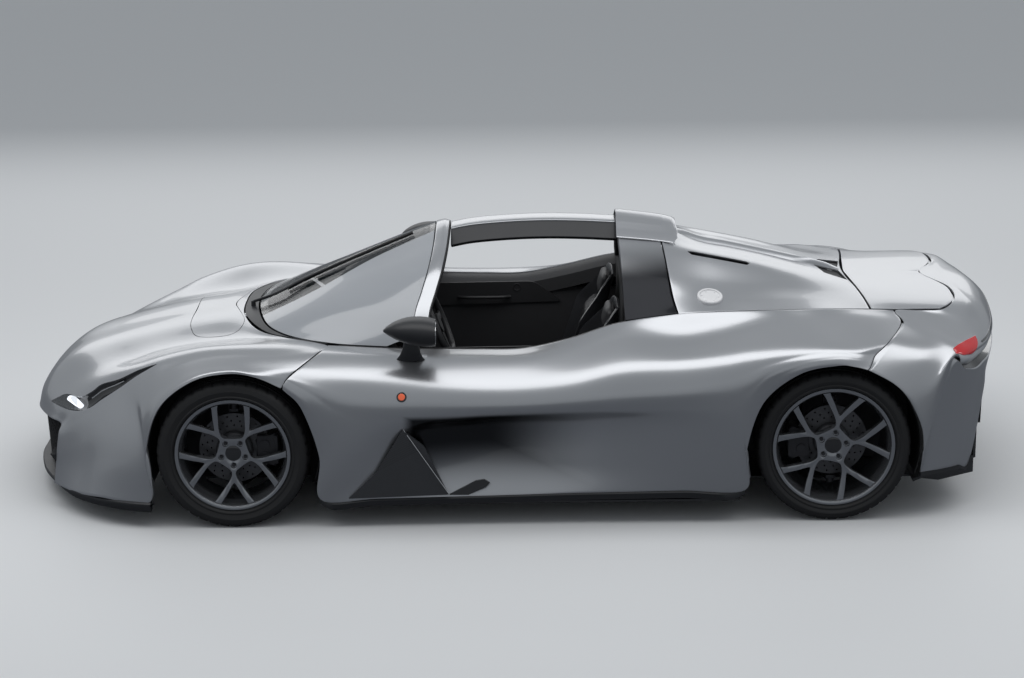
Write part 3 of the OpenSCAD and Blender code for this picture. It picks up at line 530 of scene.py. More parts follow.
class Wiring:
    """Short calls that add shader nodes to a tree and link them."""

    def __init__(self, tree: bpy.types.NodeTree) -> None:
        """Takes the tree."""
        self.tree = tree

    def add(self, kind: str, **settings: object) -> bpy.types.Node:
        """Adds a node of a kind and sets its options."""
        node = self.tree.nodes.new(f"ShaderNode{kind}")
        for name, value in settings.items():
            setattr(node, name, value)
        return node

    def link(self, *pairs: tuple[bpy.types.NodeSocket, bpy.types.NodeSocket]) -> None:
        """Links each output to its input."""
        for source, target in pairs:
            self.tree.links.new(source, target)

    def place(self, group: bpy.types.NodeTree, **values: float) -> bpy.types.NodeSocket:
        """Adds a group with its own values and gives its output."""
        node = self.add("Group", node_tree=group)
        for label, value in values.items():
            node.inputs[label].default_value = value
        return node.outputs[0]


class EffectGroup(Wiring):
    """A node group with number inputs and one output, worked out from object coordinates."""

    def __init__(self, name: str, inputs: dict[str, float], output: str, kind: str = "Float") -> None:
        """Makes the group with its input, output and coordinate nodes."""
        super().__init__(bpy.data.node_groups.new(name, "ShaderNodeTree"))
        sockets = self.tree.interface
        for label, value in inputs.items():
            socket = sockets.new_socket(label, in_out="INPUT", socket_type="NodeSocketFloat")
            socket.default_value = value
        sockets.new_socket(output, in_out="OUTPUT", socket_type=f"NodeSocket{kind}")
        self.given = self.tree.nodes.new("NodeGroupInput").outputs
        self.result = self.tree.nodes.new("NodeGroupOutput").inputs[output]
        self.spot = self.add("TexCoord").outputs["Object"]

    def noise(self, detail: float) -> bpy.types.NodeSocket:
        """Adds noise at the group's Scale and gives its value."""
        noise = self.add("TexNoise")
        noise.inputs["Detail"].default_value = detail
        self.link((self.spot, noise.inputs["Vector"]), (self.given["Scale"], noise.inputs["Scale"]))
        return noise.outputs["Fac"]

    def span(self, value: bpy.types.NodeSocket, first: str, last: str) -> bpy.types.NodeSocket:
        """Adds a soft step from 0 at one input's value to 1 at another's."""
        span = self.add("MapRange", interpolation_type="SMOOTHSTEP")
        self.link(
            (value, span.inputs["Value"]), (self.given[first], span.inputs["From Min"]),
            (self.given[last], span.inputs["From Max"]),
        )
        return span.outputs[0]


def noise_group(name: str, output: str) -> bpy.types.NodeTree:
    """A group that puts out a number that wanders around Base by Amount, at Scale."""
    group = EffectGroup(name, {"Base": 0.5, "Amount": 0.05, "Scale": 8.0}, output)
    centred = group.add("Math", operation="SUBTRACT")
    centred.inputs[1].default_value = 0.5
    scaled = group.add("Math", operation="MULTIPLY_ADD")
    group.link(
        (group.noise(4), centred.inputs[0]), (centred.outputs[0], scaled.inputs[0]),
        (group.given["Amount"], scaled.inputs[1]), (group.given["Base"], scaled.inputs[2]),
        (scaled.outputs[0], group.result),
    )
    return group.tree


def grain_group() -> bpy.types.NodeTree:
    """A group that puts out the normal of a fine even grain, by Scale and Height."""
    group = EffectGroup("surface_grain", {"Scale": 400.0, "Height": 0.1}, "Normal", "Vector")
    bump = group.add("Bump")
    bump.inputs["Distance"].default_value = 0.001
    group.link(
        (group.noise(2), bump.inputs["Height"]), (group.given["Height"], bump.inputs["Strength"]),
        (bump.outputs["Normal"], group.result),
    )
    return group.tree


def weave_group() -> bpy.types.NodeTree:
    """A group that puts out a twill of two thread directions, as a mask, by Scale."""
    group = EffectGroup("twill_weave", {"Scale": 260.0}, "Mask")
    both = group.add("Math", operation="MULTIPLY")
    for k, direction in enumerate("XY"):
        wave = group.add("TexWave", bands_direction=direction)
        group.link(
            (group.spot, wave.inputs["Vector"]), (group.given["Scale"], wave.inputs["Scale"]),
            (wave.outputs["Fac"], both.inputs[k]),
        )
    group.link((both.outputs[0], group.result))
    return group.tree


def fade_group() -> bpy.types.NodeTree:
    """A group that puts out 0 below Low and 1 above High, by height above the ground."""
    group = EffectGroup("height_fade", {"Low": 0.0, "High": 1.0}, "Mask")
    parts = group.add("SeparateXYZ")
    group.link((group.spot, parts.inputs[0]))
    group.link((group.span(parts.outputs["Z"], "Low", "High"), group.result))
    return group.tree


def channel_shade_group() -> bpy.types.NodeTree:
    """A painted-shade mask: 0 where shade is painted into the deep end of the side channel, 1 outside it."""
    spans = (("X", "Front", "Rear"), ("X", "Lip", "Nose"), ("Z", "High", "Low"), ("Z", "Crease", "Top"))
    inputs = {
        "Lip": -0.40, "Nose": -0.455, "Front": -0.10, "Rear": 0.36,
        "High": 0.36, "Low": 0.15, "Crease": 0.470, "Top": 0.496,
    }
    group = EffectGroup("channel_painted_shade", inputs, "Mask")
    parts = group.add("SeparateXYZ")
    group.link((group.spot, parts.inputs[0]))
    result = None
    for axis, dark, clear in spans:
        span = group.span(parts.outputs[axis], dark, clear)
        if result is not None:
            both = group.add("Math", operation="MAXIMUM")
            group.link((result, both.inputs[0]), (span, both.inputs[1]))
            span = both.outputs[0]
        result = span
    group.link((result, group.result))
    return group.tree


class Effects:
    """The node groups that several finishes share, each built once."""

    def __init__(self) -> None:
        """Builds the groups."""
        self.polish = noise_group("polish_variation", "Roughness")
        self.tone = noise_group("tone_variation", "Value")
        self.grain = grain_group()
        self.weave = weave_group()
        self.fade = fade_group()
        # Mask of the painted shade in the deep end of the side channel.
        self.channel = channel_shade_group()


class Material(Wiring):
    """A new material with its shader."""

    def __init__(self, name: str) -> None:
        """Makes the material."""
        self.made = bpy.data.materials.new(name)
        self.made.use_nodes = True
        super().__init__(self.made.node_tree)
        self.shader = self.tree.nodes["Principled BSDF"].inputs

    def set(self, **values: object) -> None:
        """Sets the shader's own sockets, named with _ for a space."""
        for name, value in values.items():
            self.shader[name.replace("_", " ")].default_value = value


@dataclass(frozen=True)
class Finish:
    """A surface: its colour, gloss and grain, with small variations over the surface."""

    name: str
    colour: Point
    roughness: float = 0.4
    metallic: float = 0.0
    coat: float = 0.0
    tone_change: float = 0.03
    polish_change: float = 0.06
    patch_scale: float = 6.0
    grain_scale: float = 600.0
    grain_height: float = 0.05
    weave: float = 0.0

    def wire(self, effects: Effects) -> Material:
        """Makes the material and keeps its wiring open.

        Args:
            effects: the shared node groups.

        Returns:
            The wired material.
        """
        material = Material(self.name)
        shader = material.shader
        material.set(Metallic=self.metallic, Coat_Weight=self.coat, Coat_Roughness=0.04)
        tone = material.place(effects.tone, Base=1.0, Amount=2 * self.tone_change, Scale=self.patch_scale)
        if self.weave:
            lift = material.add("Math", operation="MULTIPLY_ADD")
            lift.inputs[1].default_value = self.weave
            material.link((material.place(effects.weave), lift.inputs[0]), (tone, lift.inputs[2]))
            tone = lift.outputs[0]
        colour = material.add("VectorMath", operation="SCALE")
        colour.inputs[0].default_value = self.colour
        polish = material.place(
            effects.polish, Base=self.roughness, Amount=2 * self.polish_change, Scale=self.patch_scale
        )
        grain = material.place(effects.grain, Scale=self.grain_scale, Height=self.grain_height)
        material.link(
            (tone, colour.inputs["Scale"]), (colour.outputs[0], shader["Base Color"]),
            (polish, shader["Roughness"]), (grain, shader["Normal"]),
        )
        return material

    def build(self, effects: Effects) -> bpy.types.Material:
        """Makes the material."""
        return self.wire(effects).made


@dataclass(frozen=True)
class Glazing:
    """A clear pane, tinted by its colour."""

    name: str
    colour: Point
    roughness: float = 0.02
    opacity: float = 0.25

    def build(self, effects: Effects) -> bpy.types.Material:
        """Makes a thin clear glass that lets light through and keeps its reflections."""
        material = Material(self.name)
        material.set(
            Base_Color=(*self.colour, 1), Coat_Weight=1.0, Coat_Roughness=0.01, Specular_IOR_Level=0.8
        )
        tone = material.place(effects.tone, Base=self.opacity, Amount=0.02, Scale=2.0)
        polish = material.place(effects.polish, Base=self.roughness, Amount=0.01, Scale=9.0)
        material.link((tone, material.shader["Alpha"]), (polish, material.shader["Roughness"]))
        return material.made


@dataclass(frozen=True)
class Lit:
    """A lamp's bright element."""

    name: str
    colour: Point
    strength: float

    def build(self, effects: Effects) -> bpy.types.Material:
        """Makes a glossy element that gives a little light of its own."""
        material = Finish(self.name, self.colour, roughness=0.1, coat=1.0, grain_height=0.0).wire(effects)
        material.set(Emission_Color=(*self.colour, 1), Emission_Strength=self.strength)
        return material.made


@dataclass(frozen=True)
class Faded:
    """Paint that goes over into a darker colour, painted shade, where an effect's mask says so; on the hoop
    the darker colour also stands for a darker finish at its feet.
    """

    paint: Finish
    dark: Point
    mask: str
    places: tuple[tuple[str, float], ...] = ()

    def build(self, effects: Effects) -> bpy.types.Material:
        """Makes the paint and mixes the darker colour, the painted shade, in below."""
        material = self.paint.wire(effects)
        target = material.shader["Base Color"]
        bright = target.links[0].from_socket
        mix = material.add("Mix", data_type="RGBA")
        mix.inputs[6].default_value = (*self.dark, 1)
        mask = material.place(getattr(effects, self.mask), **dict(self.places))
        material.link((mask, mix.inputs[0]), (bright, mix.inputs[7]), (mix.outputs[2], target))
        return material.made


class Paintshop:
    """Every finish of the car, built once."""

    def __init__(self) -> None:
        """Builds the finishes."""
        e = Effects()
        silver = Finish(
            "silver_paint", (0.50, 0.51, 0.53), 0.30, metallic=0.86, coat=0.5,
            tone_change=0.012, polish_change=0.02, patch_scale=2.0, grain_scale=2600, grain_height=0.02,
        )
        self.silver = silver.build(e)
        # The hoop's paint goes to near-black towards its feet: a darker finish there, with painted shade and
        # reflection in the fade between.
        self.faded = Faded(
            replace(silver, name="hoop_paint_with_painted_shade", coat=0.1), (0.016, 0.017, 0.02),
            "fade", (("Low", 0.93), ("High", 1.055)),
        ).build(e)
        # Side paint with painted shade: near-black in the deep end of the side channel, where the hollow
        # falls into shade.
        self.channel_shaded = Faded(replace(silver, name="side_paint"), (0.010, 0.011, 0.014), "channel").build(e)
        self.pale_lens = Finish("pale_lens", (0.66, 0.68, 0.70), 0.16, coat=0.6).build(e)
        self.bright = Finish(
            "bright_metal", (0.82, 0.82, 0.83), 0.42, metallic=0.15, tone_change=0.04
        ).build(e)
        self.disc_metal = Finish(
            "disc_iron", (0.12, 0.12, 0.125), 0.38, metallic=0.9, tone_change=0.1
        ).build(e)
        # The screen's ends: pale grey and nearly opaque, a painted reflection on the side glass.
        self.side_glass = Glazing("screen_side", (0.40, 0.42, 0.45), roughness=0.22, opacity=0.85).build(e)
        self.carbon = Finish(
            "carbon_weave", (0.030, 0.031, 0.034), 0.35, coat=0.6,
            tone_change=0.1, weave=0.8, grain_scale=260,
        ).build(e)
        self.gloss_black = Finish(
            "gloss_black", (0.012, 0.012, 0.014), 0.12, coat=1.0, grain_height=0.01
        ).build(e)
        self.satin_black = Finish("satin_black", (0.016, 0.017, 0.02), 0.42, tone_change=0.08).build(e)
        self.trim = Finish(
            "black_trim", (0.022, 0.022, 0.024), 0.6, tone_change=0.12, grain_height=0.2
        ).build(e)
        self.rubber = Finish(
            "tyre_rubber", (0.018, 0.018, 0.019), 0.62, tone_change=0.15, polish_change=0.12, patch_scale=9,
            grain_scale=900, grain_height=0.25,
        ).build(e)
        self.alloy = Finish(
            "grey_alloy", (0.36, 0.37, 0.39), 0.22, metallic=0.9, coat=0.5,
            tone_change=0.05, grain_height=0.04,
        ).build(e)
        self.iron = Finish("dark_metal", (0.05, 0.05, 0.055), 0.5, metallic=0.6, tone_change=0.2).build(e)
        self.polished = Finish(
            "polished_steel", (0.62, 0.62, 0.63), 0.14, metallic=1.0, tone_change=0.04
        ).build(e)
        self.leather = Finish(
            "black_leather", (0.02, 0.02, 0.022), 0.5, tone_change=0.15, grain_scale=420, grain_height=0.5,
        ).build(e)
        self.suede = Finish(
            "dark_suede", (0.028, 0.028, 0.031), 0.9, tone_change=0.2, grain_height=0.5
        ).build(e)
        self.glass = Glazing("screen_glass", (0.02, 0.025, 0.03), opacity=0.32).build(e)
        self.lens = Glazing("lamp_cover", (0.05, 0.06, 0.07), opacity=0.35).build(e)
        self.red = Lit("red_lens", (0.50, 0.003, 0.006), 0.10).build(e)
        self.amber = Lit("amber_lens", (0.75, 0.12, 0.04), 0.3).build(e)
        self.lamp_white = Lit("lamp_white", (0.86, 0.90, 0.96), 1.1).build(e)
        self.mirror_glass = Finish(
            "mirror_glass", (0.85, 0.86, 0.88), 0.03, metallic=1.0, grain_height=0.0
        ).build(e)


# Shape lines of the outer panels in millimetres. Each row goes from the centre plane outwards
# and the rows go from front to rear. A knot of two numbers is a point on the wheel arch's edge:
# its angle from the front over the top, and its distance from the centre plane.
NOSE_LINES = (
    ((-2092, 0, 321), (-2075, 200, 328), (-1990, 420, 345), (-1922, 525, 350), (-1928, 552, 318),
     (-1938, 562, 250), (-1946, 567, 175), (-1957, 572, 97)),
    ((-2070, 0, 402), (-2048, 200, 406), (-1950, 415, 424), (-1862, 560, 430), (-1815, 625, 398),
     (-1806, 665, 310), (-1820, 685, 205), (-1846, 700, 100)),
    ((-2000, 0, 494), (-1975, 200, 500), (-1862, 420, 506), (-1765, 585, 520), (-1712, 672, 470),
     (-1690, 742, 385), (-1700, 778, 255), (-1723, 800, 112)),
    ((-1890, 0, 573), (-1868, 200, 577), (-1752, 425, 570), (-1652, 615, 582), (-1598, 718, 520),
     (-1545, 810, 420), (-1512, 865, 280), (-1502, 880, 117)),
    ((-1740, 0, 622), (-1718, 200, 625), (-1620, 428, 608), (-1540, 648, 636), (-1530, 748, 572),
     (-1522, 828, 470), (-1514, 874, 390), (0, 887)),
    ((-1580, 0, 662), (-1560, 200, 664), (-1500, 430, 643), (-1445, 664, 678), (-1448, 762, 632),
     (-1449, 842, 580), (-1449, 884, 550), (35, 897)),
    ((-1425, 0, 695), (-1408, 200, 695), (-1352, 430, 670), (-1300, 675, 717), (-1303, 778, 694),
     (-1304, 858, 668), (-1304, 894, 654), (65, 904)),
    ((-1320, 0, 711), (-1302, 205, 710), (-1220, 430, 686), (-1152, 684, 731), (-1152, 790, 716),
     (-1152, 868, 696), (-1152, 903, 686), (90, 909)),
    ((-1235, 0, 725), (-1215, 215, 723), (-1128, 432, 702), (-965, 665, 727), (-990, 785, 711),
     (-1018, 866, 682), (-1034, 900, 668), (108, 906)),
    ((-1172, 0, 737), (-1152, 230, 730), (-1044, 455, 717), (-778, 608, 707), (-800, 735, 709),
     (-868, 832, 677), (-915, 872, 645), (126, 893)),
)
SIDE_LINES = (
    ((-764, 614, 706), (-792, 737, 709), (-860, 834, 677), (-906, 874, 646), (-918, 882, 636),
     (-926, 888, 626), (-932, 891, 618), (127.5, 893)),
    ((-650, 626, 703), (-676, 748, 704), (-740, 850, 666), (-790, 900, 612), (-818, 910, 582),
     (-834, 914, 562), (-847, 915, 544), (145, 912)),
    ((-540, 638, 700), (-562, 760, 698), (-606, 868, 650), (-664, 916, 574), (-704, 926, 505),
     (-742, 926, 432), (-772, 920, 370), (180, 912)),
    ((-425, 648, 697), (-432, 766, 690), (-452, 872, 640), (-505, 924, 560), (-566, 932, 468),
     (-640, 926, 335), (-718, 914, 218), (-792, 900, 124)),
    ((-300, 650, 694), (-300, 766, 684), (-306, 874, 630), (-326, 926, 560), (-350, 930, 478),
     (-385, 884, 405), (-455, 876, 262), (-560, 897, 126)),
    ((-130, 648, 690), (-130, 766, 680), (-130, 876, 622), (-130, 926, 560), (-130, 926, 490),
     (-140, 836, 420), (-180, 838, 262), (-250, 892, 130)),
    ((50, 643, 691), (50, 764, 682), (50, 876, 624), (50, 927, 562), (50, 926, 495), (50, 830, 425),
     (50, 842, 262), (50, 890, 135)),
    ((240, 634, 728), (240, 742, 700), (250, 876, 640), (250, 929, 570), (250, 928, 501),
     (250, 856, 430), (250, 864, 262), (250, 890, 139)),
    ((450, 602, 785), (450, 690, 752), (460, 872, 680), (460, 930, 584), (460, 931, 508),
     (460, 892, 440), (460, 886, 262), (460, 893, 142)),
    ((690, 602, 819), (695, 690, 748), (700, 866, 690), (700, 926, 598), (700, 933, 514),
     (700, 920, 430), (700, 905, 262), (700, 895, 145)),
    ((860, 601, 827), (860, 682, 766), (868, 862, 706), (880, 918, 622), (894, 931, 520),
     (915, 928, 410), (938, 914, 268), (957, 899, 147)),
    ((950, 600, 829), (950, 676, 780), (954, 860, 722), (958, 916, 645), (958, 930, 560),
     (958, 930, 470), (958, 925, 390), (0, 920)),
    ((1070, 592, 829), (1070, 672, 796), (1060, 858, 738), (1048, 910, 684), (1040, 924, 640),
     (1033, 926, 600), (1028, 925, 562), (35, 922)),
    ((1200, 572, 824), (1200, 665, 803), (1190, 852, 748), (1182, 900, 714), (1176, 916, 693),
     (1172, 921, 677), (1170, 923, 663), (65, 922)),
    ((1322, 570, 825), (1322, 652, 801), (1322, 846, 750), (1322, 892, 728), (1322, 910, 712),
     (1322, 917, 702), (1322, 920, 692), (90, 921)),
    ((1470, 540, 814), (1474, 636, 798), (1436, 836, 742), (1410, 884, 716), (1402, 900, 702),
     (1396, 908, 692), (1391, 913, 684), (101, 916)),
    ((1604, 509, 801), (1622, 608, 772), (1545, 786, 741), (1485, 850, 708), (1470, 876, 690),
     (1462, 890, 678), (1456, 900, 668), (110, 909)),
)
TAIL_LINES = (
    ((1796, 0, 834), (1884, 220, 826), (1880, 400, 819), (1810, 512, 803), (1705, 516, 801),
     (1612, 518, 801), (1634, 610, 771), (1556, 790, 741), (111.5, 908)),
    ((1880, 0, 831), (1922, 220, 822), (1938, 400, 806), (1890, 522, 780), (1826, 584, 768),
     (1776, 645, 754), (1745, 725, 732), (1680, 822, 690), (130, 903)),
    ((1990, 0, 812), (1997, 220, 792), (1988, 400, 766), (1954, 532, 744), (1910, 622, 729),
     (1866, 692, 718), (1818, 770, 700), (1752, 838, 640), (145, 902)),
    ((2070, 0, 748), (2062, 220, 726), (2036, 400, 713), (1996, 542, 705), (1956, 632, 701),
     (1909, 711, 696), (1853, 781, 688), (1784, 838, 672), (165, 900)),
    ((2080, 0, 692), (2072, 220, 684), (2042, 400, 681), (2001, 551, 678), (1961, 637, 677),
     (1913, 713, 675), (1858, 782, 672), (1790, 837, 660), (180, 898)),
    ((2032, 0, 668), (2024, 220, 667), (1992, 400, 666), (1952, 546, 666), (1916, 628, 667),
     (1878, 700, 664), (1836, 775, 660), (1792, 834, 652), (1688, 893, 288)),
    ((2032, 0, 646), (2024, 220, 645), (1992, 400, 645), (1952, 546, 645), (1916, 628, 645),
     (1880, 700, 641), (1840, 775, 646), (1794, 832, 648), (1687, 888, 264)),
    ((2092.5, 0, 622), (2080, 220, 618), (2046, 400, 616), (2006, 556, 613), (1968, 640, 610),
     (1925, 710, 602), (1868, 777, 620), (1802, 830, 642), (1686, 882, 240)),
    ((2070, 0, 536), (2060, 220, 534), (2024, 400, 532), (1988, 560, 526), (1970, 655, 500),
     (1912, 706, 202), (1850, 770, 200), (1770, 824, 202), (1681, 872, 206)),
)
COVER_LINES = (
    ((648, 0, 1074), (652, 130, 1047), (662, 260, 1009), (675, 420, 932), (687, 510, 868),
     (703, 590, 818)),
    ((812, 0, 1000), (812, 130, 996), (812, 248, 985), (812, 392, 905), (812, 505, 858),
     (812, 593, 826)),
    ((950, 0, 970), (950, 130, 968), (950, 248, 959), (950, 392, 890), (950, 505, 852),
     (950, 592, 830)),
    ((1083, 0, 940), (1083, 130, 938), (1083, 248, 931), (1083, 385, 878), (1083, 495, 850),
     (1083, 582, 829)),
    ((1203, 0, 909), (1203, 130, 908), (1203, 246, 900), (1203, 375, 862), (1203, 475, 842),
     (1203, 563, 824)),
    ((1330, 0, 876), (1330, 130, 874), (1330, 244, 867), (1330, 370, 846), (1330, 460, 834),
     (1330, 560, 824)),
    ((1452, 0, 846), (1458, 130, 845), (1474, 244, 840), (1489, 370, 830), (1496, 450, 822),
     (1502, 523, 812)),
)
DECK_LINES = (
    ((1462, 0, 844), (1466, 64, 844), (1484, 240, 839), (1499, 370, 829), (1506, 450, 821),
     (1512, 518, 811)),
    ((1570, 0, 836), (1580, 64, 836), (1600, 240, 833), (1610, 370, 826), (1610, 450, 818),
     (1610, 508, 806)),
    ((1680, 0, 834), (1705, 64, 833), (1740, 240, 829), (1740, 380, 823), (1720, 458, 816),
     (1705, 506, 806)),
    ((1788, 0, 835), (1810, 64, 832), (1870, 230, 827), (1868, 395, 820), (1838, 468, 813),
     (1798, 505, 806)),
)
SCREEN_LINES = (
    ((-1104, 0, 748), (-1082, 215, 743), (-1024, 398, 728), (-905, 512, 713), (-720, 596, 707),
     (-520, 632, 704)),
    ((-872, 0, 864), (-850, 214, 842), (-800, 424, 806), (-710, 522, 772), (-590, 592, 748),
     (-475, 631, 722)),
    ((-612, 0, 974), (-600, 214, 934), (-566, 420, 884), (-530, 516, 842), (-480, 584, 790),
     (-436, 631, 735)),
    ((-330, 0, 1080), (-335, 214, 1036), (-352, 396, 974), (-378, 492, 900), (-402, 566, 832),
     (-412, 631, 745)),
    ((-264, 0, 1086), (-270, 214, 1040), (-287, 396, 978), (-313, 492, 903), (-337, 566, 834),
     (-347, 631, 747)),
)
COWL_LINES = (
    ((-1166, 0, 737), (-1145, 226, 731), (-1036, 444, 718), (-896, 527, 712), (-774, 598, 708)),
    ((-1112, 0, 744), (-1090, 217, 739), (-1030, 402, 724), (-910, 516, 709), (-768, 585, 705)),
)
HOOP_FRONT = (
    (462, 0, 1099), (462, 100, 1076), (463, 210, 1046), (466, 320, 1010), (468, 420, 950),
    (470, 490, 898), (472, 550, 836), (476, 592, 790),
)
HOOP_BACK = (
    (636, 0, 1078), (640, 100, 1056), (646, 210, 1028), (656, 320, 984), (664, 420, 932),
    (672, 490, 882), (684, 550, 842), (693, 592, 822),
)
ROOF_LINE = ((-263, 1078), (-162, 1096), (-6, 1108), (150, 1112), (306, 1108), (459, 1099))
ROOF_SECTION = ((0, 0), (40, -1.5), (66, -8), (84, -22), (104, -42), (118, -56), (128, -66))
SPLITTER_EDGE = (
    (-2092.5, 0), (-2088, 120), (-2058, 280), (-2012, 420), (-1930, 580), (-1850, 700), (-1720, 806),
    (-1600, 862), (-1512, 886),
)


@dataclass(frozen=True)
class Axle:
    """Where a pair of wheels stands, read from the frame."""

    end: str
    arch_r: float
    x: float
    z: float
    rim_r: float
    tyre_r: float
    tyre_w: float
    tyre_face: float

    @classmethod
    def read(cls, end: str, arch_r: float) -> "Axle":
        """Takes the axle's place and its wheel's sizes from the frame's rim and tyre."""
        low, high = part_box(f"tyre_{end}_right")
        rim_low, rim_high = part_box(f"rim_{end}_right")
        return cls(
            end, arch_r, (low[0] + high[0]) / 2, (low[2] + high[2]) / 2, (rim_high[2] - rim_low[2]) / 2,
            (high[2] - low[2]) / 2, high[1] - low[1], high[1],
        )

    def arch(self, angle: float, y_mm: float) -> Point:
        """Point on the wheel arch's edge, in millimetres."""
        turn = math.radians(angle)
        x, z = self.x - self.arch_r * math.cos(turn), self.z + self.arch_r * math.sin(turn)
        return x / MM, y_mm, z / MM

    def net(self, lines: Sequence, both_halves: bool = True) -> ShapeNet:
        """A panel's net, with its arch knots worked out for this axle."""
        rows = [[knot if len(knot) == 3 else self.arch(*knot) for knot in row] for row in lines]
        return ShapeNet(rows, both_halves)


def bowl(name: str, inner: np.ndarray, outer: np.ndarray, depth: float, rim: float) -> bpy.types.Object:
    """A shallow dish between two edges of equal count."""
    sheet = between(inner, outer, 13).transpose(1, 0, 2)
    along = np.sin(math.pi * steps(0, 1, len(inner))) ** 0.4
    dip = np.sin(math.pi * steps(0, 1, 13)) ** 0.6
    n = np.cross(np.gradient(sheet, axis=0), np.gradient(sheet, axis=1))
    size = np.linalg.norm(n, axis=2, keepdims=True)
    n = n / np.where(size > 1e-12, size, 1)
    sheet = sheet - n * (rim + depth * along[:, None] * dip[None, :])[..., None]
    return panel(name, sheet, 0.002, edge=0)


@dataclass
class Nose:
    """Front clamshell, service panel, lamps, intake and the dark panel ahead of the screen."""

    axle: Axle
    shop: Paintshop
    wall: float = 0.006
    gap: float = 0.0045
    service_outline: Outline = (
        (-1394, 0), (-1396, 150), (-1392, 250), (-1352, 372), (-1180, 400), (-1140, 300), (-1222, 0),
    )
    lamp_inner: Outline = (
        (0.72, 1.72), (1.05, 1.95), (1.36, 2.2), (1.5, 2.9), (1.9, 3.1), (2.35, 3.04), (2.98, 3.16),
        (3.9, 3.14), (4.7, 3.28),
    )
    lamp_outer: Outline = (
        (0.72, 1.76), (0.74, 2.35), (0.82, 2.95), (1.14, 3.55), (1.55, 3.76), (2.15, 3.7), (2.83, 3.54),
        (3.75, 3.38), (4.7, 3.31),
    )
    lamp_way: Point = (-0.55, 0.45, 0.70)
    lens_length: float = 2.75
    vane_length: float = 6.2
    beam_corners: Outline = (
        (1.36, 2.35), (1.42, 2.6), (1.36, 3.36), (1.16, 3.34), (1.12, 2.9), (1.16, 2.4),
    )
    mouth_pitch: float = 0.024
    mouth_height: float = 0.235
    mouth_foot: float = 0.09
    keel: Outline = ((-2.064, 0.31), (-2.075, 0.20), (-2.066, 0.088), (-1.90, 0.088), (-1.90, 0.31))
    keel_half: float = 0.016
    corner_vane: Sequence[Point] = ((-1.968, 0.560, 0.222), (-1.925, 0.566, 0.222), (-1.930, 0.568, 0.165))
    corner_vane_depth: float = 0.10

    def __post_init__(self) -> None:
        """Works out the panels' nets."""
        self.net = self.axle.net(NOSE_LINES)
        self.cowl = ShapeNet(COWL_LINES)
        self.mid = self.net.middle

    def points(self, places: Iterable[Pair]) -> np.ndarray:
        """Points of the surface at rows and columns counted from the centre line."""
        return self.net.points((u, self.mid + v) for u, v in places)

    def lamp_edges(self, count: int, last: float = 8) -> list[np.ndarray]:
        """Points of the surface along both edges of the lamp recess, up to a knot."""
        at = steps(0, last, count)
        return [self.points(spline(knots, at)) for knots in (self.lamp_inner, self.lamp_outer)]

    def lamps(self, shell: bpy.types.Object) -> None:
        """Cuts the lamp recesses and fits a dark bowl, a bright element, a vane and a cover in each."""
        shop = self.shop
        inner, outer = self.lamp_edges(41)
        ring = np.vstack([inner, outer[::-1]])
        out = unit(np.array(self.lamp_way))
        for side in Side:
            turn = np.array([1, side.value, 1])
            cut(shell, prism("lamp_cutter", ring * turn, 0.05 * out * turn, -0.012 * out * turn))
        dish = bowl("lamp_bowl_right", inner, outer, 0.020, 0.0035)
        mount_pair(dish, shop.gloss_black, "carbon", "headlamps")
        near, far = (edge[9:] for edge in self.lamp_edges(15, self.vane_length))
        vane = tubes("lamp_vane", [0.62 * near + 0.38 * far - 0.006 * out], 0.0028)
        mount_pair(vane, shop.silver, "paint")
        corners = self.points(rounded(self.beam_corners, 0.12, 5))
        beam = prism("lamp_beam_right", corners, -0.001 * out, -0.010 * out)
        mount_pair(beam, shop.lamp_white, "lens", "headlamps")
        lens = between(*self.lamp_edges(17, self.lens_length), 9).transpose(1, 0, 2)
        mount_pair(panel("lamp_cover_right", lens, 0.0018, edge=0), shop.lens, "glass", "headlamps")

    def service(self, shell: bpy.types.Object, lid: bpy.types.Object) -> None:
        """Cuts the service panel out of a copy of the shell, with an even gap around it."""
        half = np.array(self.service_outline, float) * MM
        outline = rounded(np.vstack([half, half[-2:0:-1] * [1, -1]]), 0.07, 8)
        ring = np.column_stack([outline, np.full(len(outline), 0.7)])
        inwards = unit(outline - outline.mean(axis=0)) * self.gap
        small = ring - np.column_stack([inwards, np.zeros(len(outline))])
        up = np.array([0, 0, 0.2])
        cut(shell, prism("service_hole", ring, up, -up))
        cut(lid, prism("service_keep", small, up, -up), Cut.SHARED)

    def mouth_mesh(self) -> bpy.types.Object:
        """Crossed wires over the intake, behind the beak."""
        lip = self.net.knots[0][self.mid - 3: self.mid + 4]
        top = spline(lip, steps(0, 6, 61)) + np.array([0.030, 0, 0.012])
        foot = top.copy()
        foot[:, 2] = self.mouth_foot
        foot[:, 0] += 0.012
        sheet = between(top, foot, 25).transpose(1, 0, 2)
        along = np.linalg.norm(np.diff(top, axis=0), axis=1).sum()
        t = steps(0, 1, 9)
        paths = []
        for k in range(int((along + self.mouth_height) / self.mouth_pitch)):
            start = k * self.mouth_pitch
            for s in (start - self.mouth_height * (1 - t), start - self.mouth_height * t):
                inside = (s >= 0) & (s <= along)
                if inside.sum() > 2:
                    across = spline(sheet, s[inside] / along * 60)
                    paths.append(np.array([spline(row, [v])[0] for row, v in zip(across, 24 * t[inside])]))
        return tubes("mouth_mesh", paths, 0.0022, 6)

    def mouth(self) -> None:
        """Dark mesh in the intake with its keel and corner vanes."""
        mount(self.mouth_mesh(), self.shop.trim, "carbon")
        ring = np.array([(x, 0.0, z) for x, z in self.keel])
        width = np.array([0, self.keel_half, 0])
        mount(prism("mouth_keel", ring, width, -width), self.shop.satin_black, "carbon")
        for side in Side:
            vane = np.array(self.corner_vane) * [1, side.value, 1]
            depth = np.array([0, -self.corner_vane_depth * side.value, 0])
            piece = prism(f"corner_vane_{side.word}", vane, 0 * depth, depth)
            mount(piece, self.shop.satin_black, "carbon")

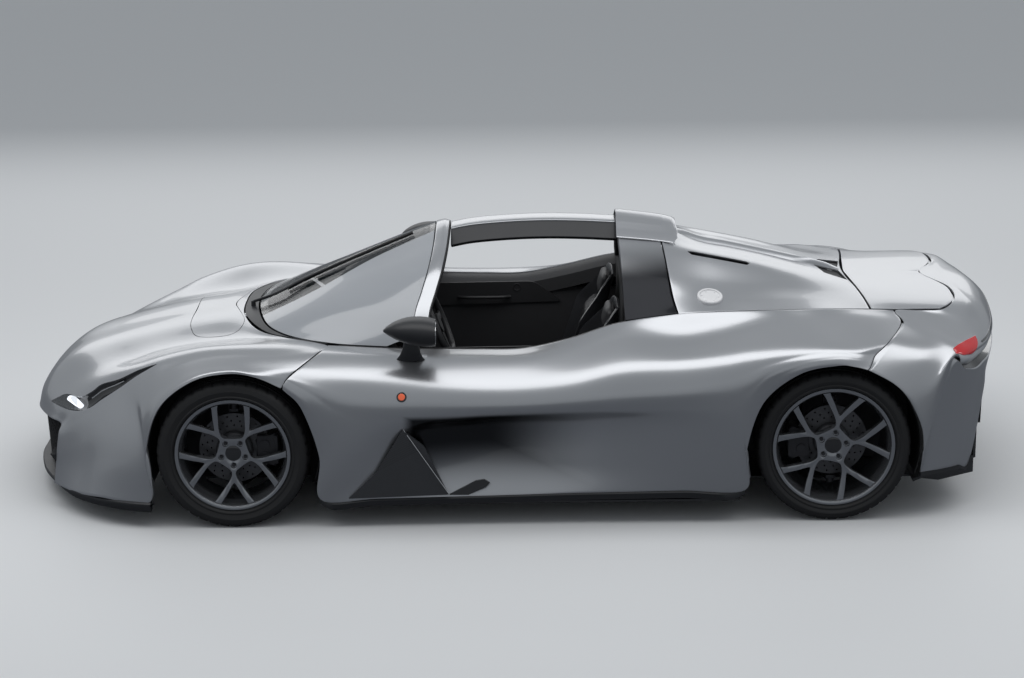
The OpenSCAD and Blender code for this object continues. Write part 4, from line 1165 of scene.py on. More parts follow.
    def build(self) -> None:
        """Makes the nose's painted panels and what they hold."""
        shell = panel("nose_shell", self.net.grid(steps(0, 9, 109), steps(0, 2 * self.mid, 169)), self.wall)
        lid = copied(shell, "service_panel_skin")
        self.service(shell, lid)
        self.lamps(shell)
        for piece, node in ((shell, "front_clamshell"), (lid, "service_panel")):
            smooth(piece)
            mount(piece, self.shop.silver, "paint", node)
        self.mouth()
        cowl = panel("cowl_cover", self.cowl.grid(steps(0, 1, 9), steps(0, 8, 81)), 0.005)
        mount(cowl, self.shop.satin_black, "carbon", "cowl_panel")


@dataclass
class Sides:
    """The painted body sides between the wheels, their dark duct panels, fins and skirts."""

    rear_axle: Axle
    front_axle: Axle
    shop: Paintshop
    wall: float = 0.006
    triangle: Outline = ((3.5, 6.86), (3.62, 6.0), (3.66, 4.5), (4.2, 5.45), (4.93, 6.9))
    duct_y: float = 0.9
    blade_y: float = 0.917
    fin_foot: Outline = ((4.93, 6.93), (5.22, 6.52), (5.34, 6.48), (5.44, 6.58), (5.4, 6.72), (5.2, 6.95))
    fin_out: Sequence[float] = (0.006, 0.014, 0.016, 0.014, 0.010, 0.004)
    skirt_section: Outline = (
        (0.002, -0.001), (0.006, -0.006), (0.004, -0.030), (-0.045, -0.030), (-0.045, -0.001),
    )
    marker: Pair = (3.29, 2.86)
    marker_r: float = 0.021

    def __post_init__(self) -> None:
        """Works out the right side's net, whose ends follow the two wheel arches."""
        front = self.front_axle.net(SIDE_LINES[:3], False)
        rear = self.rear_axle.net(SIDE_LINES[3:], False)
        self.net = replace(front)
        self.net.knots = np.concatenate([front.knots, rear.knots])

    def duct(self) -> bpy.types.Object:
        """The dark three-cornered panel that stands in the foot of the side channel."""
        points = self.net.points(rounded(self.triangle, 0.05, 4))
        points[:, 1] = np.maximum(points[:, 1], self.duct_y) + 0.004
        push = np.array([0, 0.003, 0])
        return prism("duct_panel_right", points, push, -3 * push)

    def blade(self) -> bpy.types.Object:
        """The bright edge along the duct panel's rear side."""
        first, last = (self.net.point(*self.triangle[k]) for k in (2, 4))
        first[1] = last[1] = self.blade_y
        edge = between(first[None], last[None], 12)[:, 0] + np.array([0.004, 0, 0.002])
        return tubes("duct_edge_right", [edge], 0.0022)

    def fin(self) -> bpy.types.Object:
        """The low fin behind the duct panel."""
        points = self.net.points(self.fin_foot)
        points[:, 1] += self.fin_out
        push = np.array([0, 0.0025, 0.0])
        return prism("duct_fin_right", points, push, -3 * push)

    def skirt(self) -> bpy.types.Object:
        """The dark strip along the foot of the side."""
        edge = self.net.grid(steps(2.96, 9.99, 60), [7.0])
        ends = np.minimum(1, np.minimum(np.arange(60), np.arange(60)[::-1]) / 3)[:, None]
        out, up = np.array(self.skirt_section).T
        rings = np.repeat(edge, len(out), axis=1)
        rings[..., 1] += out * ends
        rings[..., 2] += up * (0.6 + 0.4 * ends)
        return loft("skirt_right", rings)

    def marker_lamp(self) -> None:
        """The round side lamp in its dark ring."""
        shop, normal = self.shop, Vector(self.net.normal(*self.marker))
        turn = Vector((0, 0, 1)).rotation_difference(normal).to_matrix().to_4x4()
        place = Matrix.Translation(self.net.point(*self.marker)) @ turn
        for name, radius, high, finish, slot in (
            ("marker_ring", self.marker_r, 0.0035, shop.gloss_black, "carbon"),
            ("marker_lens", self.marker_r * 0.68, 0.0055, shop.amber, "red_lens"),
        ):
            mount_pair(drum(f"{name}_right", radius, 2 * high, 0.002, place), finish, slot)

    def build(self) -> None:
        """Makes both body sides."""
        shop = self.shop
        skin = panel("body_side_skin_right", self.net.grid(steps(0, 16, 161), steps(0, 7, 99)), self.wall)
        # The sides' paint carries painted shade in the deep end of the side channel.
        mount_pair(skin, shop.channel_shaded, "paint", "body_side_{}")
        mount_pair(self.duct(), shop.carbon, "carbon", "side_duct_panels")
        mount_pair(self.blade(), shop.polished, "metal")
        mount_pair(self.fin(), shop.satin_black, "carbon", "side_duct_panels")
        mount_pair(self.skirt(), shop.satin_black, "carbon")
        self.marker_lamp()


@dataclass
class Tail:
    """Rear clamshell, deck lid, engine cover, their vents, lamps and filler cap."""

    axle: Axle
    shop: Paintshop
    side_net: ShapeNet
    wall: float = 0.006
    shut: float = 0.0035
    slot_corners: Outline = (
        (0.62, 1.90), (0.75, 1.86), (2.44, 1.9), (2.56, 1.98), (2.46, 2.12), (0.74, 2.06),
    )
    vent_corners: Outline = ((4.98, 0.09), (5.86, 0.10), (5.97, 1.34), (5.24, 0.92))
    spine_section: Outline = (
        (-0.042, -0.004), (-0.03, 0.006), (-0.014, 0.0145), (0, 0.017), (0.014, 0.0145), (0.03, 0.006),
        (0.042, -0.004),
    )
    cap_at: Pair = (1.17, 3.89)
    cap_r: float = 0.054
    hinge_x: float = 1.58743
    hinge_z: float = 0.80752
    hinge_y: float = 0.24
    mesh_low: Pair = (-0.66, 0.325)
    mesh_high: Pair = (0.66, 0.53)
    mesh_pitch: float = 0.028
    edge_section: Outline = ((0.001, 0.001), (0.004, -0.016), (-0.012, -0.018), (-0.014, 0.001))
    lens_ends: Sequence[float] = (0, 1)
    lens_edges: Sequence[tuple] = (((2.33, 1.91), (4.02, 5.98)), ((4.0, 2.98), (5.36, 6.49)))
    pale_ends: Sequence[float] = (0, 0.4, 0.75, 1)
    pale_edges: Sequence[tuple] = (
        ((4.16, 4.10, 4.06, 3.1), (2.2, 3.8, 5.3, 6.45)), ((6.45, 6.45, 6.4, 6.2), (2.6, 4.0, 5.3, 6.1)),
    )

    def __post_init__(self) -> None:
        """Works out the panels' nets."""
        self.net = self.axle.net(TAIL_LINES)
        self.upper, self.lower = self.axle.net(TAIL_LINES[:8]), self.axle.net(TAIL_LINES[7:])
        self.deck = ShapeNet(DECK_LINES)
        self.cover = ShapeNet(COVER_LINES)

    def cover_vents(self, cover: bpy.types.Object) -> None:
        """Cuts the slots and vents on both sides and closes them with dark ducts."""
        mid = self.cover.middle
        for name, corners, depth in (("slot", self.slot_corners, 0.02), ("vent", self.vent_corners, 0.010)):
            right = np.array(corners) + [0, mid]
            for place in (right * [1, -1] + [0, 2 * mid], right):
                cut(cover, net_prism("vent_cutter", self.cover, place, 0.04, 0.05, 0.03))
            centre = np.mean(right, axis=0)
            wide = centre + (right - centre) * 1.06
            duct = net_prism(f"{name}_duct_right", self.cover, wide, 0.1, -depth, depth + 0.003)
            mount_pair(duct, self.shop.trim, "carbon")

    def spine(self) -> bpy.types.Object:
        """The low rib along the cover's centre line."""
        us = steps(0.35, 5.9, 40)
        out, up = np.array(self.spine_section).T
        rings = np.repeat(self.cover.grid(us, [float(self.cover.middle)]), len(out), axis=1)
        rings[..., 1] = out * np.interp(us, (4.2, 4.9, 5.9), (1, 0.20, 0.20))[:, None]
        height = np.interp(us, (0.35, 0.7, 3.0, 4.8, 5.4, 5.9), (0.2, 1, 1, 1.3, 1.2, 0.5))
        rings[..., 2] += up * height[:, None]
        return loft("cover_spine", rings)

    def filler(self) -> bpy.types.Object:
        """The bare metal filler cap: a dished disc with a raised rim and a bolt circle."""
        r, place = self.cap_r, (self.cap_at[0], self.cover.middle - self.cap_at[1])
        profile = [
            (0, 0.008), (r * 0.52, 0.008), (r * 0.56, 0.0065), (r * 0.78, 0.0065), (r * 0.82, 0.0115),
            (r * 0.95, 0.0115), (r, 0.008), (r, -0.006), (0, -0.006),
        ]
        disc = lathe("filler_cap", profile, (0, 0, 0), closed=False)
        circle = [(r * 0.67 * math.cos(a), r * 0.67 * math.sin(a)) for a in turns(6)]
        studs = [tubes("cap_stud", [[(x, y, z) for y in (0.004, 0.0095)]], 0.0035, 10) for x, z in circle]
        cap = joined("filler_cap", [disc, *studs])
        normal = Vector(self.cover.normal(*place))
        turn = Vector((0, 1, 0)).rotation_difference(normal).to_matrix().to_4x4()
        cap.data.transform(Matrix.Translation(self.cover.point(*place)) @ turn)
        smooth(cap)
        return cap

    def filler_strip(self) -> bpy.types.Object:
        """Closes the shell up to the body side's rear edge, all but an even shut line."""
        edges = []
        for edge in (
            self.net.grid([0.02], self.net.middle + steps(6, 8, 200))[0],
            self.side_net.grid([16.0], steps(1, 7, 200))[0],
        ):
            run = np.concatenate([[0], np.cumsum(np.linalg.norm(np.diff(edge, axis=0), axis=1))])
            at = steps(0, run[-1], 50)
            edges.append(np.stack([np.interp(at, run, edge[:, k]) for k in range(3)], axis=1))
        far, side = edges
        apart = np.linalg.norm(far - side, axis=1, keepdims=True)
        near = side + (far - side) * np.minimum(1, self.shut / apart)
        return panel("shut_strip_right", between(near, far, 7), self.wall, edge=0)

    def lens_points(self, ends: Sequence[float], edges: Sequence[tuple], rows: int) -> np.ndarray:
        """Places between two edges of a lens, as rows of places on the tail."""
        across = steps(0, 1, 41)
        top, foot = (
            np.stack([np.interp(across, ends, us), self.net.middle + np.interp(across, ends, vs)], axis=1)
            for us, vs in edges
        )
        return between(top, foot, rows)

    def lamps(self) -> None:
        """Red lenses that follow the tail's corners, pale strips below them and dark liners."""
        places = self.lens_points(self.lens_ends, self.lens_edges, 17)
        red = np.array([self.upper.points(row) for row in places])
        lens = panel("tail_lens_right", raised(red, 0.004), 0.007, edge=0.0025)
        mount_pair(lens, self.shop.red, "red_lens", "tail_lamps")
        top, foot = (self.upper.points(row) for row in self.lens_points(self.pale_ends, self.pale_edges, 2))
        belly = np.sin(math.pi * steps(0, 1, 17))[:, None, None]
        sheet = between(top, foot, 17) + np.array([0.006, 0.004, 0]) * belly
        pale = panel("tail_lens_clear_right", raised(sheet, 0.002), 0.005, edge=0.002)
        mount_pair(pale, self.shop.pale_lens, "lens")
        for name, us, reach in (
            ("tail_groove", steps(4.45, 6.9, 33), 6.5), ("tail_undercut", steps(3.03, 3.3, 9), 4.1),
        ):
            liner = raised(self.upper.grid(us, self.net.middle + steps(-reach, reach, 121)), 0.0012)
            mount(panel(name, liner, 0.003, edge=0), self.shop.gloss_black, "carbon")

    def hinges(self, deck: bpy.types.Object) -> bpy.types.Object:
        """Adds the lid's hinge arms and pins under its front edge."""
        x, z = self.hinge_x, self.hinge_z
        parts = [deck]
        for y in (-self.hinge_y, self.hinge_y):
            parts.append(tubes("hinge_pin", [[(x, y - 0.028, z), (x, y + 0.028, z)]], 0.005, 16))
            for arm in (y - 0.024, y + 0.024):
                low, high = (x - 0.008, arm - 0.004, z - 0.005), (x + 0.008, arm + 0.004, z + 0.023)
                parts.append(block("hinge_arm", low, high, 0.001))
        return joined("deck_skin", parts)

    def mesh(self) -> None:
        """Dark mesh in the rear opening on both sides of the tail pipes, with a sheet behind it."""
        low, high = self.mesh_low, self.mesh_high
        tall = high[1] - low[1]
        t = steps(0, 1, 12)
        paths = []
        for start in np.arange(low[0] - tall, high[0] + tall, self.mesh_pitch):
            for y in (start + tall * t, start - tall * t):
                inside = (y > low[0]) & (y < high[0])
                if inside.sum() > 2:
                    y, z = y[inside], low[1] + tall * t[inside]
                    x = 1.972 - 0.28 * np.clip(np.abs(y) - 0.3, 0, 1) ** 2
                    paths.append(np.stack([x, y, z], axis=1))
        mount(tubes("tail_mesh", paths, 0.0022, 6), self.shop.trim, "carbon")
        near, far = (1.898, low[0] + 0.004, low[1] + 0.004), (1.904, high[0] - 0.004, high[1] - 0.004)
        mount(block("tail_backing", near, far, 0.001), self.shop.satin_black, "carbon")

    def foot_trim(self) -> None:
        """The dark edge under the clamshell's rear corners."""
        vs = steps(self.net.middle + 4.9, 2 * self.net.middle, 60)
        edge = self.net.grid([8.0], vs)[0]
        way = unit(np.gradient(edge, axis=0))
        out = unit(np.cross(way, [0, 0, 1.0]))
        out *= np.sign((out * (edge - [1.3, 0, 0])).sum(axis=1, keepdims=True))
        up = np.abs(np.cross(way, out)) * [0, 0, 1]
        section = np.array(self.edge_section)[None]
        rings = edge[:, None] + section[..., :1] * out[:, None] + section[..., 1:] * up[:, None]
        mount_pair(loft("tail_edge_right", rings), self.shop.satin_black, "carbon")

    def build(self) -> None:
        """Makes the tail's painted panels and what they hold."""
        silver, vs = self.shop.silver, steps(0, 16, 209)
        upper, lower = self.upper.grid(steps(0, 7, 106), vs), self.lower.grid(steps(0, 1, 33), vs)
        shell = panel("tail_shell", np.concatenate([upper, lower[1:]]), self.wall)
        mount(shell, silver, "paint", "rear_clamshell")
        gutter = raised(self.deck.grid(steps(2.86, 3.10, 7), steps(-0.1, 10.1, 81)), -0.013)
        mount(panel("deck_gutter", gutter, 0.003, edge=0), silver, "paint")
        deck = panel("deck_skin", self.deck.grid(steps(-0.012, 3.03, 49), steps(0, 10, 121)), self.wall)
        mount_pair(self.filler_strip(), silver, "paint")
        mount(self.hinges(deck), silver, "paint", "deck_lid", body="deck_lid")
        cover = panel("engine_cover_skin", self.cover.grid(steps(-0.04, 6, 91), steps(0, 10, 151)), self.wall)
        self.cover_vents(cover)
        smooth(cover)
        mount(cover, silver, "paint", "engine_cover")
        mount(self.spine(), silver, "paint")
        mount(self.filler(), self.shop.bright, "metal", "fuel_cap")
        self.lamps()
        self.foot_trim()
        self.mesh()


@dataclass
class Roof:
    """Windscreen, its band, the roof bar, the hoop with its scoop, the wiper and the mirrors."""

    shop: Paintshop
    side_net: ShapeNet
    cowl_net: ShapeNet
    scoop_reach: float = 1.9
    wiper_foot: Pair = (0.6, 3.6)
    mirror_y: float = 0.849
    mirror_z: float = 0.826
    mirror_foot: Pair = (3.13, 1.05)
    mirror_stations: Sequence[tuple[float, float, float, float]] = (
        (-0.519, 0.006, 0.004, 0.006), (-0.500, 0.030, 0.018, 0.008), (-0.465, 0.058, 0.036, 0.008),
        (-0.420, 0.078, 0.050, 0.006), (-0.370, 0.086, 0.056, 0.002), (-0.330, 0.084, 0.055, -0.002),
        (-0.306, 0.078, 0.050, -0.004),
    )

    def __post_init__(self) -> None:
        """Works out the nets."""
        self.screen = ShapeNet(SCREEN_LINES)
        self.bar = ShapeNet([[(x, y, z + drop) for y, drop in ROOF_SECTION] for x, z in ROOF_LINE])
        self.hoop = ShapeNet([HOOP_FRONT, HOOP_BACK])

    def panes(self) -> None:
        """The screen's clear middle and its tinted, nearly opaque ends, whose grey is a painted reflection.
        """
        us, mid, shop = steps(0, 3, 73), self.screen.middle, self.shop
        turn = spline([1.22, 1.05, 0.62, 0.42], us)
        for name, first, last, finish in (
            ("screen_pane", mid - turn, mid + turn, shop.glass),
            ("screen_side_left", 0 * us, mid - turn, shop.side_glass),
            ("screen_side_right", mid + turn, 0 * us + 2 * mid, shop.side_glass),
        ):
            rows = [self.screen.grid([u], steps(a, b, 41))[0] for u, a, b in zip(us, first, last)]
            mount(panel(name, np.stack(rows), 0.005, edge=0), finish, "glass", "windscreen")

    def strip(
        self, name: str, us: np.ndarray, vs: np.ndarray, lift: float, wall: float, edge: float
    ) -> bpy.types.Object:
        """A strip that follows the screen, lifted off its surface."""
        return panel(name, raised(self.screen.grid(us, vs), lift), wall, edge=edge)

    def screen_pieces(self) -> None:
        """The pane, its dark border, the silver band and the seal behind the band."""
        shop, vs, tall = self.shop, steps(0, 10, 161), steps(0.13, 2.88, 60)
        self.panes()
        for word, us, columns in (
            ("low", steps(0, 0.13, 5), vs), ("high", steps(2.88, 3.0, 5), vs),
            ("left", tall, steps(0, 0.35, 7)), ("right", tall, steps(9.65, 10, 7)),
        ):
            border = self.strip(f"screen_border_{word}", us, columns, -0.0055, 0.002, 0)
            mount(border, shop.gloss_black, "glass")
        band = panel("screen_band", self.screen.grid(steps(3.03, 3.93, 17), vs), 0.018, edge=0.004)
        mount(band, shop.silver, "paint", "windscreen_frame")
        mount(self.strip("screen_seal", steps(3.94, 4.0, 4), vs, -0.003, 0.026, 0.004), shop.trim, "trim")
        inner = (steps(3.1, 3.97, 9), steps(0.25, 9.75, 141))
        mount(self.strip("screen_band_lining", *inner, -0.0195, 0.014, 0.003), shop.satin_black, "carbon")

    def bar_pieces(self) -> None:
        """The silver crown of the roof bar over its dark flanks."""
        us = steps(0.02, 5, 61)
        crown = panel("roof_bar_crown", self.bar.grid(us, steps(4.0, 8.0, 33)), 0.010, edge=0.003)
        mount(crown, self.shop.silver, "paint", "roof_bar")
        lower = raised(self.bar.grid(us, steps(0, 12, 61)), -0.003)
        flanks = panel("roof_bar_flanks", lower, 0.020, edge=0.004)
        mount(flanks, self.shop.satin_black, "carbon", "roof_bar")

    def hoop_pieces(self) -> None:
        """The hoop's outer band, fading from silver at the crown to black at the feet, and its lining; the
        dark feet are a darker finish, with painted shade and reflection in the fade.
        """
        band = panel("hoop_skin", self.hoop.grid(steps(0, 1, 21), steps(0, 14, 169)), 0.020, edge=0.005)
        mount(band, self.shop.faded, "paint", "roof_hoop")
        lining = raised(self.hoop.grid(steps(0.03, 0.6, 7), steps(0.2, 13.8, 141)), -0.0205)
        mount(panel("hoop_lining", lining, 0.035, edge=0.006), self.shop.satin_black, "carbon")

    def scoop(self) -> None:
        """The air scoop: a wide hood over the hoop's crown, open to the front, with a dark screen."""
        us, vs = steps(-0.05, 1.46, 41), self.hoop.middle + steps(-self.scoop_reach, self.scoop_reach, 65)
        base = self.hoop.grid(us, vs)
        away = np.abs(steps(-1, 1, 65))
        across = np.interp(away, (0, 0.30, 0.50, 0.72, 0.9, 1), (0.0325, 0.0320, 0.028, 0.017, 0.011, 0.007))
        along = np.interp(us, (-0.05, 0.1, 0.7, 1.1, 1.36, 1.46), (0.94, 1.0, 0.99, 0.92, 0.75, 0.5))
        hood = base + (along[:, None] * across[None])[..., None] * (raised(base, 1.0) - base)
        ends = np.interp(away, (0, 0.55, 0.8, 1), (0, 0.0, 0.006, 0.03))
        hood[..., 0] -= np.interp(us, (0.7, 1.46), (0, 1))[:, None] * ends[None]
        mount(panel("roof_scoop_shell", hood, 0.006, edge=0.0028), self.shop.silver, "paint", "roof_scoop")
        back = block("scoop_screen", (0.51, -0.075, 1.088), (0.514, 0.075, 1.106), 0.001)
        mount(back, self.shop.trim, "carbon")

    def over(self, u: float, v: float, lift: float) -> np.ndarray:
        """Point over the glass."""
        return self.screen.point(u, v) + lift * self.screen.normal(u, v)

    def wiper(self) -> None:
        """The wiper's spindle, its arm and its blade with a lip along the glass."""
        foot = self.cowl_net.point(*self.wiper_foot)
        spindle = tubes("wiper_spindle", [[foot, foot + [0, 0, 0.022]]], 0.010, 16)
        joints = [(0.35, 4.4, 0.024), (0.9, 4.52, 0.020), (1.55, 4.6, 0.017)]
        arm_line = spline([foot + [0, 0, 0.018], *(self.over(*place) for place in joints)], steps(0, 3, 25))
        arm = tubes("wiper_arm", [arm_line], 0.0062, 12)
        blade_line = np.array([self.over(u, 4.5 + 0.09 * u, 0.0125) for u in steps(0.55, 2.62, 30)])
        blade = tubes("wiper_blade", [blade_line], 0.0055)
        lip = tubes("wiper_lip", [blade_line - 0.007 * self.screen.normal(1.5, 4.6)], 0.0025, 6)
        mount(joined("wiper_arm", [spindle, arm]), self.shop.satin_black, "carbon", "wiper")
        mount(joined("wiper_blade", [blade, lip]), self.shop.rubber, "tyre", "wiper")

    def mirrors(self) -> None:
        """Teardrop mirror housings on blade-like stalks, with their glasses."""
        turn = turns(32)
        y, z = squarish(np.cos(turn), 0.8), squarish(np.sin(turn), 0.85)
        rings = [
            np.column_stack([np.full(32, x), self.mirror_y + wide * y, self.mirror_z + lift + tall * z])
            for x, wide, tall, lift in self.mirror_stations
        ]
        housing = loft("mirror_housing_right", spline(rings, steps(0, 6, 49)))
        centre = rings[-1].mean(axis=0)
        pane = centre + (rings[-1] - centre) * 0.86
        pane = prism("mirror_pane_right", pane, np.array([0.0015, 0, 0]), np.array([-0.002, 0, 0]))
        foot = self.side_net.point(*self.mirror_foot) - 0.002 * self.side_net.normal(*self.mirror_foot)
        head = np.array([-0.405, self.mirror_y - 0.012, self.mirror_z - 0.035])
        rings = []
        for t in steps(0, 1, 12):
            long, thin = 0.040 - 0.010 * t + 0.02 * (1 - t) ** 4, 0.0085 + 0.012 * (1 - t) ** 6
            oval = np.column_stack([long * np.cos(turn), thin * np.sin(turn), np.zeros(32)])
            rings.append((1 - t) * foot + t * head + oval)
        stalk = loft("mirror_stalk_right", rings)
        mount_pair(housing, self.shop.satin_black, "carbon", "mirrors")
        mount_pair(stalk, self.shop.satin_black, "carbon", "mirrors")
        mount_pair(pane, self.shop.mirror_glass, "glass", "mirrors")

    def build(self) -> None:
        """Makes the roof's pieces."""
        self.screen_pieces()
        self.bar_pieces()
        self.hoop_pieces()
        self.scoop()
        self.wiper()
        self.mirrors()


@dataclass
class Splitter:
    """The dark lip under the nose, from wheel arch to wheel arch."""

    shop: Paintshop
    foot_z: float = 0.073

    def build(self) -> None:
        """Makes the lip as one lofted body across the car."""
        half = np.array(SPLITTER_EDGE, float) * MM
        edge = np.vstack([half[:0:-1] * [1, -1], half])
        edge = spline(edge, steps(0, len(edge) - 1, 161))
        x, y = edge.T
        lip_z = 0.089 + 0.012 * np.clip(np.abs(y) / half[-1, 1], 0, 1)
        inner, foot = np.minimum(x + 0.16, -1.50), 0 * x + self.foot_z
        section_x = (x, x + 0.004, x + 0.03, inner, inner, x + 0.012, x + 0.001)
        section_z = (lip_z, lip_z + 0.005, lip_z + 0.009, lip_z + 0.013, foot, foot, lip_z - 0.010)
        rings = np.stack([section_x, [y] * 7, section_z], axis=-1).transpose(1, 0, 2)
        mount(loft("splitter_lip", rings), self.shop.satin_black, "carbon", "front_splitter")


@dataclass
class Cabin:
    """The dark tub with its dash, steering wheel, seats, door panels and sill trims."""

    shop: Paintshop
    side_net: ShapeNet
    room_half: float = 0.545
    sill_section: Outline = (
        (-0.002, -0.004), (-0.030, -0.006), (-0.062, -0.014), (-0.094, -0.030), (-0.102, -0.090),
        (-0.090, -0.090), (-0.084, -0.040), (-0.004, -0.012),
    )
    door_y: float = 0.541
    door_corners: Outline = ((-0.45, 0.668), (0.10, 0.672), (0.235, 0.575), (-0.40, 0.560))
    ring_at: Point = (0.022, 0.536, 0.645)
    ring_r: float = 0.016
    pull_line: Sequence[Point] = (
        (-0.25, 0.534, 0.60), (-0.20, 0.505, 0.605), (-0.06, 0.505, 0.605), (-0.01, 0.534, 0.60),
    )
    dash_corners: Outline = (
        (-0.800, 0.565), (-0.800, 0.686), (-0.600, 0.722), (-0.505, 0.702), (-0.462, 0.606), (-0.560, 0.545),
    )
    dash_ys: Sequence[float] = (-0.538, -0.530, -0.40, -0.15, 0, 0.15, 0.40, 0.530, 0.538)
    dial_r: float = 0.046
    helm_tilt: float = 68.0
    helm_r: float = 0.160
    helm_outer_r: float = 0.175
    spoke_section: Outline = (
        (1, -0.6), (1, 0.6), (0.6, 1), (-0.6, 1), (-1, 0.6), (-1, -0.6), (-0.6, -1), (0.6, -1),
    )
    seat_y: float = 0.290
    seat_line: Outline = (
        (-0.150, 0.236), (-0.050, 0.222), (0.120, 0.176), (0.235, 0.176), (0.300, 0.255), (0.350, 0.410),
        (0.395, 0.580), (0.425, 0.690), (0.452, 0.790),
    )
    seam_y: float = 0.150
    seam_up: float = 0.012

    def tub(self) -> None:
        """The tub: floor, bulkheads and side walls as one hollow body, with ribs on the floor."""
        low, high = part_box("tub")
        half = self.room_half
        shell = block("tub_shell", low, high, 0.006)
        near, far = (low[0] + 0.05, -half, low[2] + 0.026), (high[0] - 0.05, half, high[2] + 0.1)
        cut(shell, block("tub_room", near, far, 0.02))
        smooth(shell)
        ribs = [
            block("floor_rib", (x, -0.54, low[2] + 0.024), (x + 0.018, 0.54, low[2] + 0.034), 0.003)
            for x in steps(-0.76, -0.28, 7)
        ]
        spine = block("tub_spine", (-0.78, -0.045, low[2] + 0.02), (0.49, 0.045, 0.30), 0.02)
        mount(joined("tub_shell", [shell, spine, *ribs]), self.shop.suede, "carbon", "tub")
        rear = block("bulkhead_pad", (0.480, -0.530, 0.300), (0.520, 0.530, 0.800), 0.015)
        mount(rear, self.shop.suede, "carbon")

    def door_panels(self) -> None:
        """Inner panels beside the seats and the soft sills that close them to the body."""
        leather = self.shop.leather
        rings = np.repeat(self.side_net.grid(steps(0.35, 9.3, 60), [0.0]), len(self.sill_section), axis=1)
        rings[..., 1:] += self.sill_section
        mount_pair(loft("sill_trim_right", rings), leather, "seat")
        push, (ring_x, ring_y, ring_z) = np.array([0, 0.004, 0]), self.ring_at
        for side in Side:
            turn = np.array([1, side.value, 1])
            outline = np.array([(x, self.door_y, z) for x, z in rounded(self.door_corners, 0.03)])
            rest = prism(f"door_panel_{side.word}", outline * turn, push, -push)
            circle = np.array([
                (ring_x + self.ring_r * math.cos(a), ring_y, ring_z + self.ring_r * math.sin(a))
                for a in steps(0, 2 * math.pi, 25)
            ])
            ring = tubes("door_ring", [circle * turn], 0.0025)
            pull = tubes("door_pull", [spline(self.pull_line, steps(0, 3, 25)) * turn], 0.008, 12)
            mount(joined(f"door_panel_{side.word}", [rest, ring, pull]), leather, "seat")

    def dash(self) -> None:
        """Dash with a rolled top edge, a driver's pod with two round dials, and four vents."""
        profile = rounded(self.dash_corners, 0.05, 7)
        rings = np.array([[(x, y, z) for x, z in profile] for y in self.dash_ys])
        centre = profile.mean(axis=0)
        rings[[0, -1], :, 0] = centre[0] + (profile[:, 0] - centre[0]) * 0.96
        rings[[0, -1], :, 2] = centre[1] + (profile[:, 1] - centre[1]) * 0.96
        parts = [loft("dash_body", rings)]
        for y in (-0.425, -0.320):
            tilt = Matrix.Rotation(math.radians(-22), 4, "Y") @ Matrix.Rotation(math.pi / 2, 4, "Y")
            place = Matrix.Translation((-0.487, y, 0.690)) @ tilt
            parts.append(drum("dial", self.dial_r, 0.060, 0.006, place))
        for y in (-0.50, -0.16, 0.16, 0.50):
            deselect_all()
            bpy.ops.mesh.primitive_torus_add(
                major_radius=0.026, minor_radius=0.006, major_segments=32, minor_segments=10
            )
            vent = bpy.context.object
            vent.data.transform(
                Matrix.Translation((-0.490, y, 0.655)) @ Matrix.Rotation(math.radians(66), 4, "Y")
            )
            smooth(vent, 60)
            parts.append(vent)
        mount(joined("dash_body", parts), self.shop.suede, "carbon", "dashboard")

    def helm(self) -> None:
        """Steering wheel: thick rim with a flat foot, three spokes, boss and column."""
        low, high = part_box("steering_wheel")
        tilt, reach = math.radians(self.helm_tilt), self.helm_outer_r
        axis = np.array([math.sin(tilt), 0, math.cos(tilt)])
        right, up = np.array([0, 1.0, 0]), np.array([-math.cos(tilt), 0, math.sin(tilt)])
        centre = np.array([
            high[0] - reach * math.cos(tilt), (low[1] + high[1]) / 2, high[2] - reach * math.sin(tilt)
        ])
        turn = steps(0, 2 * math.pi, 73)[:, None]
        flat = 0.86 / np.maximum(-np.sin(turn), 1e-6) + 10 * (np.sin(turn) > -0.5)
        ring = centre + self.helm_r * np.minimum(1, flat) * (np.cos(turn) * right + np.sin(turn) * up)
        parts = [tubes("helm_grip", [ring], 0.0145, 16)]
        for angle, reach in ((0, 0.150), (180, 0.150), (270, 0.130)):
            a = math.radians(angle)
            way = math.cos(a) * right + math.sin(a) * up
            side = np.cross(way, axis)
            rings = []
            for t, half in ((0.03, 0.030), (0.07, 0.018), (0.11, 0.014), (reach, 0.020)):
                mid = centre + t * way - 0.004 * axis
                rings.append([mid + half * c * side + 0.005 * s * axis for c, s in self.spoke_section])
            parts.append(loft("helm_spoke", rings))
        parts.append(tubes("helm_boss", [[centre - 0.02 * axis, centre + 0.006 * axis]], 0.042, 40))
        parts.append(tubes("helm_column", [[centre - 0.15 * axis, centre - 0.01 * axis]], 0.020, 24))
        mount(joined("steering_wheel_rim", parts), self.shop.leather, "seat", "steering_wheel")

    def on_seat(self, us: np.ndarray, y: np.ndarray, up: np.ndarray) -> np.ndarray:
        """Points over the right seat's line."""
        line = spline(self.seat_line, us)
        tangent = unit(np.gradient(line, axis=0))
        x, z = line[:, :1] - tangent[:, 1:] * up, line[:, 1:] + tangent[:, :1] * up
        return np.stack([x, self.seat_y + y, z], axis=2)

    def seat_shell(self) -> bpy.types.Object:
        """The bucket: a thin shell along the seat's line whose sides turn up as bolsters."""
        us, vs = steps(0, 8, 57), steps(-1, 1, 41)
        wing = np.interp(us, (0, 1.5, 3.5, 4.5, 6, 7, 8), (0.045, 0.085, 0.10, 0.115, 0.10, 0.05, 0.01))
        half = np.interp(us, (0, 4, 6, 7, 7.4, 8), (0.232, 0.235, 0.228, 0.165, 0.130, 0.112))
        lift = np.clip((np.abs(vs) - 0.62) / 0.38, 0, 1) ** 1.6
        grid = self.on_seat(us, half[:, None] * vs * (1 - 0.03 * lift), wing[:, None] * lift)
        return panel("seat_shell_right", grid, 0.010, edge=0.003)

